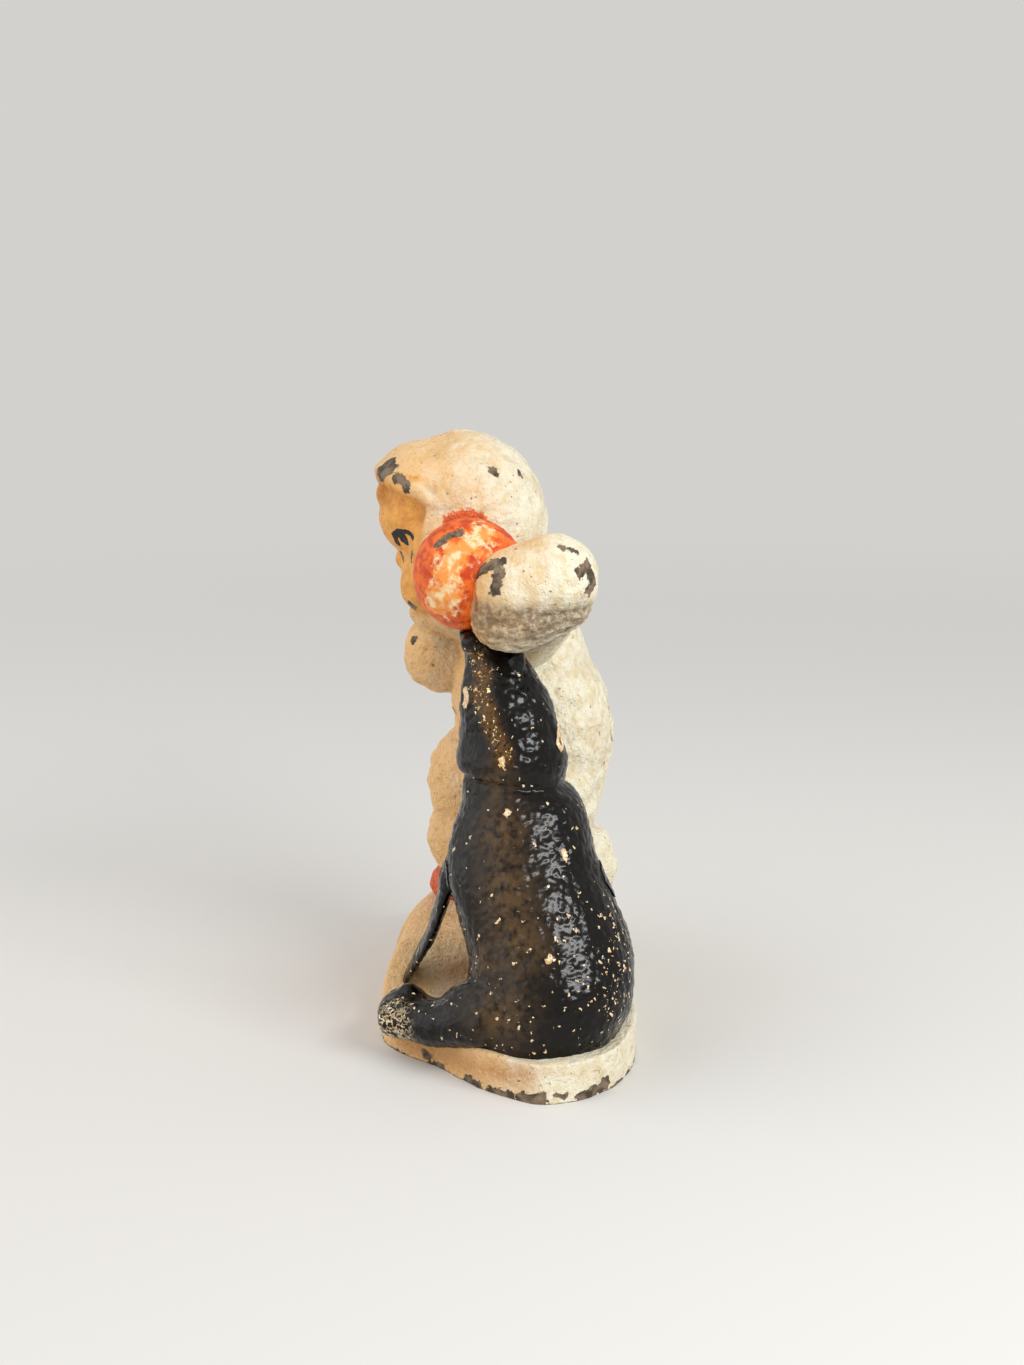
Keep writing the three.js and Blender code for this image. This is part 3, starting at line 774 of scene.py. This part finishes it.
def black_enamel():
    """Black gloss enamel brushed on hammered looking cast iron: wet highlights broken up by the skin,
    brown patches of painted warm reflection, cream specks of the undercoat on the worn peaks, and a
    painted warm glint along the crest of the head with gold specks that are partly chips."""
    material, tree, mm = blank_material("black_gloss_enamel_on_cast_iron")
    fine = add(tree, "TexNoise", {"Vector": mm, "Scale": 3.0, "Detail": 4, "Roughness": 0.6})
    mottle = add(tree, "TexNoise", {"Vector": mm, "Scale": 1.1, "Detail": 4, "Roughness": 0.6})
    names = ("painted_warm_sheen", "glint_and_gold_chip", "web")
    shares = [add(tree, "Attribute", {}, "Fac", attribute_name=name) for name in names]
    painted_warm_sheen, glint_and_gold_chip, web = shares
    undercoat = layered(tree, colour(0xEFE0BE), [(fine, 0.4, 0.6, 1, colour(0xC9A169))])
    glint_and_chip_colour = layered(tree, colour(0xF8E8B8), [(mottle, 0.4, 0.6, 1, colour(0xD8A24C))])
    strands = add(tree, "Math", {0: mottle, 1: 0.5, 2: 0.03}, operation="COMPARE")
    paint = layered(tree, colour(0x060505), [
        (mottle, 0.5, 0.75, 1, colour(0x120E0C)),
        # painted warm reflection: brown patches down the near side
        (mottle, 0.26, 0.62, painted_warm_sheen, colour(0x624A2E)),
        # painted warm glint along the crest of the head
        (fine, 0.3, 0.55, glint_and_gold_chip, colour(0x5E4220)),
        (torn_dots(tree, mm, 1.9, "speck"), 0, 1, 1, undercoat),
        # gold specks along the crest: partly chips of the undercoat, partly painted glints
        (torn_dots(tree, mm, 2.4, "glint_and_gold_chip"), 0, 1, 1, glint_and_chip_colour),
        (strands, 0, 1, web, undercoat),
        (torn_patch(tree, "chip", fine, 0.4), 0, 1, 1, undercoat),
        (torn_patch(tree, "ink", fine, 0.1), 0, 1, 1, colour(0x0B0A09)),
    ])
    ripple = add(tree, "TexNoise", {"Vector": mm, "Scale": 1.0, "Detail": 1})
    bump = add(tree, "Bump", {"Strength": 0.65, "Distance": 0.0002, "Height": ripple})
    roughness = add(tree, "MapRange", {"Value": fine, "To Min": 0.14, "To Max": 0.26})
    links = {"Base Color": paint, "Roughness": roughness, "Normal": bump, "Specular IOR Level": 0.27}
    add(tree, "OutputMaterial", {"Surface": add(tree, "BsdfPrincipled", links)})
    return material


def red_enamel():
    """Orange red enamel on cast iron, rubbed through to the cream undercoat where the ball bulges."""
    material, tree, mm = blank_material("red_enamel_on_cast_iron")
    fine = add(tree, "TexNoise", {"Vector": mm, "Scale": 2.0, "Detail": 5, "Roughness": 0.65})
    mottle = add(tree, "TexNoise", {"Vector": mm, "Scale": 0.8, "Detail": 4, "Roughness": 0.6})
    ragged = add(tree, "TexNoise", {"Vector": mm, "Scale": 1.2, "Detail": 3, "Roughness": 0.55})
    shade_and_grime = add(tree, "Attribute", {}, "Fac", attribute_name="shade_and_grime")
    rubbed = layered(tree, colour(0xF6DCA8), [(mottle, 0.4, 0.56, 1, colour(0xF09A48))])
    iron = layered(tree, colour(0x4A3C2A), [(fine, 0.35, 0.65, 1, colour(0x84705A))])
    chip = torn_patch(tree, "chip", ragged, 0.8)
    paint = layered(tree, colour(0xC43C00), [
        (mottle, 0.38, 0.6, 1, colour(0xEC6C1A)),
        (torn_patch(tree, "worn", ragged, 2.6, 0.6), 0, 1, 0.92, rubbed),
        # painted shade with dirt in the ball's hollows
        (fine, 0.35, 0.6, shade_and_grime, colour(0x8A4A1E)),
        (chip, 0, 1, 1, iron),
    ])
    pits = add(tree, "TexNoise", {"Vector": mm, "Scale": 1.6, "Detail": 4, "Roughness": 0.6})
    relief = add(tree, "Math", {0: chip, 1: -0.6, 2: pits}, operation="MULTIPLY_ADD")
    bump = add(tree, "Bump", {"Strength": 0.7, "Distance": 0.00024, "Height": relief})
    roughness = add(tree, "MapRange", {"Value": fine, "To Min": 0.34, "To Max": 0.52})
    links = {"Base Color": paint, "Roughness": roughness, "Normal": bump, "Specular IOR Level": 0.3}
    add(tree, "OutputMaterial", {"Surface": add(tree, "BsdfPrincipled", links)})
    return material


def machined_steel():
    """Machined steel screws gone brown with age: dull metal with rust in the slots."""
    material, tree, mm = blank_material("aged_machined_steel")
    fine = add(tree, "TexNoise", {"Vector": mm, "Scale": 2.5, "Detail": 4, "Roughness": 0.6})
    metal = layered(tree, colour(0x5B554E), [(fine, 0.4, 0.7, 1, colour(0x6E4A30))])
    roughness = add(tree, "MapRange", {"Value": fine, "To Min": 0.4, "To Max": 0.75})
    bump = add(tree, "Bump", {"Strength": 0.4, "Distance": 0.0001, "Height": fine})
    links = {"Base Color": metal, "Roughness": roughness, "Normal": bump, "Metallic": 0.8}
    add(tree, "OutputMaterial", {"Surface": add(tree, "BsdfPrincipled", links)})
    return material


cream = cream_enamel()
black = black_enamel()
red = red_enamel()
steel = machined_steel()


# Where the paint is other than plain: lines of points, each line with its reach in mm
def mirrored(places):
    """The places and their mirror images on the other side of the child."""
    twins = [([(2 * CHILD_X - x, y, z) for x, y, z in line], reach) for line, reach in places]
    return places + twins


CHILD_CHIPS = [
    ([(-5.4, -14.3, 60.4), (-4.4, -13.0, 61.0), (-5.4, -13.5, 61.3)], 1.0),
    ([(-3.0, -12.4, 60.2), (-1.9, -11.6, 59.8), (-1.5, -11.3, 59.2)], 0.6),
    ([(-2.6, -1.9, 61.1), (-2.5, -1.4, 60.6)], 0.45),
    ([(-4.9, 1.2, 60.3)], 0.4),
    ([(-2.1, -10.7, 51.8), (-2.3, -10.8, 51.2)], 0.32),
    ([(-6.9, -12.3, 51.2), (-6.6, -12.1, 50.6)], 0.32),
    ([(-2.9, -10.6, 46.6), (-3.4, -10.8, 45.4)], 0.5),
    ([(-9.9, -11.1, 40.6)], 0.55),
]
# The painted eyes as seen from before the face: from its middle, and height
EYE_INK = [
    ([(4.1, 52.5), (4.5, 53.5), (5.3, 54.1), (6.2, 54.1), (6.9, 53.5)], 0.28),
    ([(5.3, 53.5), (5.2, 52.9)], 0.44),
]
HAIR = [([(-5.0, -13.8, 58.9), (-5.6, -14.0, 57.4), (-7.4, -14.8, 57.6), (-7.0, -14.4, 59.0)], 1.1)]
CHILD_RED = [
    ([(0.3, -6.6, 55.8), (0.4, -5.2, 56.3), (0.3, -4.3, 56.4), (0.1, -3.2, 56.0)], 0.75),
    ([(0.1, -2.2, 55.2), (-0.8, -0.6, 54.2)], 0.35),
    ([(CHILD_X - 1.6, -12.2, 46.7), (CHILD_X, -12.4, 46.3), (CHILD_X + 1.6, -12.2, 46.7)], 0.6),
]
BOOT_REACH = 4.4
ARM_CHIPS = [
    ([(13.3, -3.4, 52.2), (14.5, -2.2, 53.0), (15.1, -0.9, 53.5)], 0.7),
    ([(15.9, -0.9, 52.6), (16.3, -1.4, 50.9)], 0.65),
    ([(14.9, 5.6, 55.0), (14.7, 6.7, 54.7)], 0.4),
    ([(15.9, 7.1, 52.6), (14.4, 8.3, 53.4)], 0.5),
    ([(14.9, 8.4, 52.5), (14.8, 8.7, 51.3), (15.1, 8.3, 50.7)], 0.65),
]
ARM_RED = [([(12.5, -3.1, 54.2), (13.3, -3.8, 52.3), (14.0, -3.6, 50.0), (14.4, -3.3, 48.5)], 0.35)]
# A band of painted shade with dirt along the underside of the arm, below the mitten
ARM_SHADE_AND_DIRT = [(14.8, -2.5, 48.2), (16.0, 1.4, 47.4), (16.0, 5.5, 47.8), (15.2, 7.3, 48.4)]
BALL_CHIPS = [([(10.9, -7.2, 54.9), (10.8, -6.5, 55.5), (10.8, -5.2, 56.0)], 0.55)]
BALL_WORN = [
    ([(12.8, -6.6, 52.2), (12.3, -6.1, 53.9), (12.1, -4.4, 54.7), (10.2, -2.5, 56.0)], 1.4),
    ([(12.8, -6.4, 52.2), (12.8, -6.4, 49.8), (11.6, -7.4, 48.7)], 1.5),
]
SEAL_CHIPS = [
    ([(11.2, -4.6, 39.2), (11.7, -4.6, 38.0)], 0.5),
    ([(10.9, 5.6, 34.9), (11.9, 5.6, 33.8)], 0.9),
    ([(15.3, 0, 35.3)], 0.3),
    ([(17.0, -0.2, 27.6)], 0.42),
    ([(18.0, 5.9, 23.7), (18.4, 6.1, 23.0)], 0.42),
    ([(14.9, -6.0, 23.0)], 0.35),
    ([(24.2, 4.2, 14.4), (24.4, 4.0, 14.0)], 0.35),
    ([(12.3, -3.6, 39.7)], 0.3),
    ([(15.6, -0.8, 32.9), (15.7, -0.5, 31.9)], 0.3),
]
SEAL_INK = [([(11.0, 5.7, 34.8), (11.9, 5.6, 33.9)], 0.35)]
# The crest of the seal's head, where a painted warm glint runs with gold chips
SEAL_GLINT_AND_CHIPS = [
    (10.6, -3.6, 43.6), (11.0, -3.4, 42.4), (11.8, -2.8, 40.9), (12.6, -3.1, 39.0), (13.8, -2.2, 37.5),
    (14.5, -1.9, 36.1), (15.4, -0.9, 34.2), (15.5, -0.6, 33.2),
]
# Painted warm reflection: brown patches down the near side, each a place and its reach in mm
SEAL_WARM_SHEEN = [
    ((15.7, -1.4, 30.6), 2.6), ((17.8, -0.9, 25.8), 4), ((20.6, -0.4, 20.4), 4.5),
    ((23.3, 1.0, 15.4), 4.5), ((25.0, -0.8, 8.2), 4.5), ((21.3, -3.2, 13.0), 2.5),
]
TAIL_TIP = (17.8, -12.4, 4.0)
SEAL_WORN_SIDE = [(18.9, 11.4, 17.5), (18.9, 11.2, 15.4), (20.6, 11.5, 12.8), (23.3, 10.8, 10.0)]
BASE_CHIPS = [
    ([(22.4, -4.5, 0.2), (24.0, -3.0, 0.2)], 0.6),
    ([(25.0, -2.1, 0.1), (26.7, 0.1, 0.2)], 0.6),
    ([(27.4, 1.3, 0.3), (28.1, 3.3, 0.4)], 0.7),
    ([(28.0, 4.9, 0.8), (27.8, 5.5, 0.7)], 0.4),
    ([(27.0, 7.2, 0.3), (25.6, 9.1, 0.6), (24.6, 10.1, 1.1)], 0.6),
    ([(17.1, -9.0, 1.0), (17.4, -8.5, 0.8)], 0.5),
]
# Depth inside the chip that bares the whole underside
UNDERSIDE_WEAR = 0.3
RIM_STAIN = [
    (14.5, -11.6, 1.5), (18.3, -7.6, 1.4), (22.6, -4.2, 2.1), (25.5, -1.3, 2.4), (27.7, 1.8, 2.9),
]
# Lines of points, each with its width and strength
BASE_STAINS = [
    (RIM_STAIN, 1.8, 0.6),
    ([(4.4, -6.2, 5.8), (4.0, -5.2, 6.0)], 2.0, 0.6),
    ([(-6, -12.5, 6.5), (4, -12.8, 3.4)], 1.6, 0.6),
]


def cream_fields(obj, hollow, chips=(), red=(), stains=()):
    """Stores what the cream enamel reads: depths in mm inside the patches, and shares from 0 to 1."""
    points = points_of(obj)
    for name, places in (("chip", chips), ("red", red), ("ink", ())):
        stored(obj, name, patches(points, places))
    stain = np.zeros(len(points))
    for line, width, strength in stains:
        stain += strength * ridge(points, line, width)
    stored(obj, "stain", np.clip(stain, 0, 1))
    stored(obj, "flesh", np.zeros(len(points)))
    # Painted warm light: the sides that face -y are tinted orange
    turned = 0.3 * grain(points, 5, 2, 31) - 0.65 * normals_of(obj)[:, 1] - 0.03 * points[:, 1]
    stored(obj, "warm_lit_side", smoothstep(turned, -0.7, 0.95))
    # Painted shade with dirt: darker in the hollows of the skin
    stored(obj, "shade_and_grime", np.clip(hollow * 5, 0, 0.8))


def eye_depth(points):
    """Depth in mm inside the lines of the painted eyes."""
    before = points * (1, 0, 1)
    before[:, 0] = abs(before[:, 0] - CHILD_X)
    places = [([(x, 0, z) for x, z in line], reach) for line, reach in EYE_INK]
    return np.where(points[:, 1] < -9, patches(before, places), BLANK)


def child_paint(obj, hollow):
    """Red boots, a flesh coloured face inside the hood, brown hair under its brow and the eyes."""
    points = points_of(obj)
    soles = [[(CHILD_X + side * LEG_SPREAD, y, SOLE_Z) for y in (-9, 12)] for side in (-1, 1)]
    boots = [(sole, BOOT_REACH) for sole in soles]
    hair = [(line, reach, 1.0) for line, reach in mirrored(HAIR)]
    hair.append(([(CHILD_X + x, y, z) for x, y, z in MOUTH], 0.7, 1.0))
    cream_fields(obj, hollow, CHILD_CHIPS, CHILD_RED + boots, hair)
    stored(obj, "ink", eye_depth(points))
    head = smoothstep(points[:, 2], 43, 46)
    opening_front = smoothstep(-points[:, 1] - 0.12 * (points[:, 2] - 50), 6.6, 10)
    within = smoothstep(9.6 - abs(points[:, 0] - CHILD_X), -0.3, 1.8)
    brow = smoothstep(distance_to_line(points, [row[:3] for row in brow_line()]), 0.7, 1.2)
    flesh = head * opening_front * within * brow * (points[:, 2] < 60.6)
    stored(obj, "flesh", flesh)
    # Painted shade with dirt: darker in the hollows, less so on the face
    stored(obj, "shade_and_grime", np.clip(hollow * 6, 0, 0.9) * (1 - 0.7 * flesh))


def brow_line():
    """The whole rolled edge of the hood, from one side over the brow to the other."""
    left = [(CHILD_X + x, y, z) for x, y, z, _ in HOOD_EDGE]
    right = [(CHILD_X - x, y, z) for x, y, z, _ in reversed(HOOD_EDGE)]
    return right + left


def arm_paint(obj, hollow):
    """Painted shade on the underside of the arm below the mitten, with dirt in the wrinkles there."""
    points = points_of(obj)
    cream_fields(obj, hollow, ARM_CHIPS, ARM_RED)
    under = smoothstep(-points[:, 2], -50.2, -48.4) * smoothstep(points[:, 0], 4, 9)
    # painted shade on the underside, and a band of painted shade with dirt below the mitten
    shade_and_dirt = 0.6 * under + 0.5 * ridge(points, ARM_SHADE_AND_DIRT, 3.0)
    stored(obj, "shade_and_grime", np.clip(shade_and_dirt + hollow * 6, 0, 0.9))


def base_paint(obj, hollow):
    """The lower edge is chipped all round and the underside is worn bare."""
    points = points_of(obj)
    wear = smoothstep(grain(points, 3.0, 2, 21), 0.1, 0.6)
    cream_fields(obj, hollow, BASE_CHIPS, (), BASE_STAINS)
    bottom_edge = 0.45 * wear - points[:, 2] - 4 * (abs(normals_of(obj)[:, 2]) > 0.9)
    chips = np.maximum(patches(points, BASE_CHIPS), np.maximum(bottom_edge, BLANK))
    chips[points[:, 2] < 0.01] = UNDERSIDE_WEAR
    stored(obj, "chip", chips)
    # Painted shade with dirt: darker in the hollows of the snow
    stored(obj, "shade_and_grime", np.clip(hollow * 3, 0, 0.5))


def seal_paint(obj, hollow):
    """Specks thicken towards the foot and the tail; a painted warm glint with gold chips runs along the
    crest of the head, and brown patches of painted warm reflection run down the near side.
    """
    points = points_of(obj)
    low = smoothstep(-points[:, 2], -24, -9)
    side = ridge(points, SEAL_WORN_SIDE, 4)
    tip = nearness(points, TAIL_TIP, 4.6)
    stored(obj, "speck", np.clip(0.05 + 0.13 * low + 0.75 * side + 0.5 * tip, 0, 0.9))
    stored(obj, "web", np.clip(1.5 * tip - 0.4, 0, 0.9))
    # Painted warm glint with gold chips along the crest
    stored(obj, "glint_and_gold_chip", np.clip(1.6 * ridge(points, SEAL_GLINT_AND_CHIPS, 1.2), 0, 0.97))
    # Painted warm reflection in brown patches
    painted_warm_sheen = sum(0.7 * nearness(points, place, reach) for place, reach in SEAL_WARM_SHEEN)
    stored(obj, "painted_warm_sheen", np.clip(painted_warm_sheen, 0, 0.9))
    stored(obj, "chip", patches(points, SEAL_CHIPS))
    stored(obj, "ink", patches(points, SEAL_INK))


def ball_paint(obj, hollow):
    """Rubbed where the ball bulges, with one chip, and painted shade with dirt in the hollows."""
    points = points_of(obj)
    stored(obj, "worn", patches(points, BALL_WORN))
    stored(obj, "chip", patches(points, BALL_CHIPS))
    # Painted shade with dirt: darker in the hollows
    stored(obj, "shade_and_grime", np.clip(hollow * 4, 0, 0.8))


def shaped(obj, relief):
    """Adds the relief to a form and measures its hollows there, for the paint."""
    raised(obj, relief(points_of(obj)))
    return points_of(obj), hollowness(obj, HOLLOW_ROUNDS)


def halves(obj, names):
    """Cuts a whole figure at the parting plane into its front and rear casting."""
    front = copy_of(obj, names[0])
    cut(front, block_beyond(1))
    cut(obj, block_beyond(-1))
    obj.name = names[1]
    return [front, obj]


def painted(obj, before, hollow, paint):
    """Paints a cut piece with the hollows that were measured on its skin before the cuts."""
    paint(obj, carried(before, hollow, points_of(obj)))
    return obj


def rivet_of(obj, axis, name):
    """The rivet of a figure: a pin through it, whose ends stand a little proud of its skin. The figure
    is left with the hole."""
    pin = copy_of(obj, name)
    raised(pin, np.full(len(pin.data.vertices), RIVET_PROUD))
    cut(pin, made([through_hole(axis, RIVET_HEAD)], "pin"), "INTERSECT")
    cut(obj, made([through_hole(axis, RIVET_HEAD + RIVET_GAP)], "hole"))
    return pin


base = base_form()
base_skin, base_hollow = shaped(base, base_relief)
flat_bottomed(base, 0)
cut(base, made([screw_hole(place) for place in SCREWS], "screw_holes"))

ball = ball_form()
ball_skin, ball_hollow = shaped(ball, ball_relief)

child = child_form()
child_skin, child_hollow = shaped(child, child_relief)
for inner in (base, ball):
    cut(child, inner, keep=True)
child_pin = rivet_of(child, CHILD_RIVET, "child_rivet")

arm = arm_form()
arm_skin, arm_hollow = shaped(arm, arm_relief)
for inner in (ball, child):
    cut(arm, inner, keep=True)

seal = seal_form()
seal_skin, seal_hollow = shaped(seal, seal_relief)
for inner in (base, ball, child, arm):
    cut(seal, inner, keep=True)
seal_pin = rivet_of(seal, SEAL_RIVET, "seal_rivet")

finished(painted(base, base_skin, base_hollow, base_paint), "base", cream)
finished(painted(ball, ball_skin, ball_hollow, ball_paint), "ball", red)
finished(painted(arm, arm_skin, arm_hollow, arm_paint), "left_arm", cream)
for half, node in zip(halves(child, ("front", "rear")), ("child_front", "child_rear")):
    painted(half, child_skin, child_hollow, child_paint)
    finished(half, node, cream)
painted(child_pin, child_skin, child_hollow, cream_fields)
finished(child_pin, "child_rivet", cream)
for half, node in zip(halves(seal, ("front", "rear")), ("seal_front", "seal_rear")):
    painted(half, seal_skin, seal_hollow, seal_paint)
    finished(half, node, black)
painted(seal_pin, seal_skin, seal_hollow, seal_paint)
finished(seal_pin, "seal_rivet", black)

for name in ("right_leg_screw", "left_leg_screw", "seal_screw"):
    frame["nodes"][name].data.materials.clear()
    frame["nodes"][name].data.materials.append(steel)


# Floor, light and camera
PALE = 0xD8D6D2
PALE_STRENGTH = 0.95
SOFT_LIGHT = 0.7
# In metres
FLOOR_RADIUS = 2.5
# The paper runs out into the pale surroundings between these distances, in mm
PAPER_ENDS = (90, 420)
# Lamps: place, width and height in metres, power in watts
LAMPS = {
    "key": ((0.2, 0.182, 0.2), 0.22, 0.048, 0.63),
    "fill": ((0.06, -0.34, 0.25), 0.6, 0.6, 0.95),
}
LAMP_AIM = (0, 0, 0.032)
# The photograph's camera, found from the weave of the cloth: place in metres, tilt in degrees
CAMERA_PLACE = (0.2255, 0.0003, 0.0861)
CAMERA_DOWN = 12.1
# Height of the photograph and focal length in its pixels, and the sensor's size in mm
PHOTO_HEIGHT = 1365
PHOTO_FOCAL = 2080
SENSOR = 36


def seen_share(tree):
    """1 for a ray that looks at the surroundings, straight or by way of gloss or glass; 0 for light."""
    seen = add(tree, "LightPath", {}, "Is Camera Ray")
    kinds = seen.node.outputs
    for name in ("Is Glossy Ray", "Is Transmission Ray"):
        seen = add(tree, "Math", {0: seen, 1: kinds[name]}, operation="MAXIMUM")
    return seen


def floor():
    """Pale paper under the figurine, which takes its shadow and runs out into the pale surroundings."""
    bm = bmesh.new()
    bmesh.ops.create_circle(bm, cap_ends=True, segments=96, radius=FLOOR_RADIUS)
    obj = made([kept(bm)], "floor")
    material, tree, mm = blank_material("pale_paper")
    paper = add(tree, "BsdfDiffuse", {"Color": colour(PALE)})
    plain = add(tree, "Emission", {"Color": colour(PALE), "Strength": PALE_STRENGTH})
    away = add(tree, "VectorMath", {0: mm}, "Value", operation="LENGTH")
    near, far = PAPER_ENDS
    links = {"Value": away, "From Min": near, "From Max": far, "To Max": seen_share(tree)}
    share = add(tree, "MapRange", links, interpolation_type="SMOOTHSTEP")
    both = add(tree, "MixShader", {0: share, 1: paper, 2: plain})
    add(tree, "OutputMaterial", {"Surface": both})
    obj.data.materials.append(material)


def world():
    """Soft even light from all sides, and pale surroundings for whatever looks at them."""
    studio = bpy.data.worlds.new("studio")
    studio.use_nodes = True
    tree = studio.node_tree
    tree.nodes.clear()
    soft = add(tree, "Background", {"Color": colour(0xFFFFFF), "Strength": SOFT_LIGHT})
    pale = add(tree, "Background", {"Color": colour(PALE), "Strength": PALE_STRENGTH})
    both = add(tree, "MixShader", {0: seen_share(tree), 1: soft, 2: pale})
    add(tree, "OutputWorld", {"Surface": both})
    bpy.context.scene.world = studio


def lamp(name, place, wide, high, power):
    """A soft lamp that looks at the middle of the figurine."""
    light = bpy.data.lights.new(name, "AREA")
    light.shape = "RECTANGLE"
    light.size = wide
    light.size_y = high
    light.energy = power
    obj = bpy.data.objects.new(name, light)
    bpy.context.collection.objects.link(obj)
    obj.location = place
    aim = Vector(LAMP_AIM) - Vector(place)
    obj.rotation_euler = aim.to_track_quat("-Z", "Y").to_euler()


def camera():
    """The camera that took the photograph."""
    lens = bpy.data.cameras.new("camera")
    lens.sensor_width = SENSOR
    lens.lens = SENSOR * PHOTO_FOCAL / PHOTO_HEIGHT
    lens.clip_start = 0.01
    obj = bpy.data.objects.new("camera", lens)
    bpy.context.collection.objects.link(obj)
    obj.location = CAMERA_PLACE
    obj.rotation_euler = (math.radians(90 - CAMERA_DOWN), 0, math.radians(90))
    bpy.context.scene.camera = obj


floor()
world()
for lamp_name, settings in LAMPS.items():
    lamp(lamp_name, *settings)
camera()
bpy.context.scene.view_settings.view_transform = "Standard"
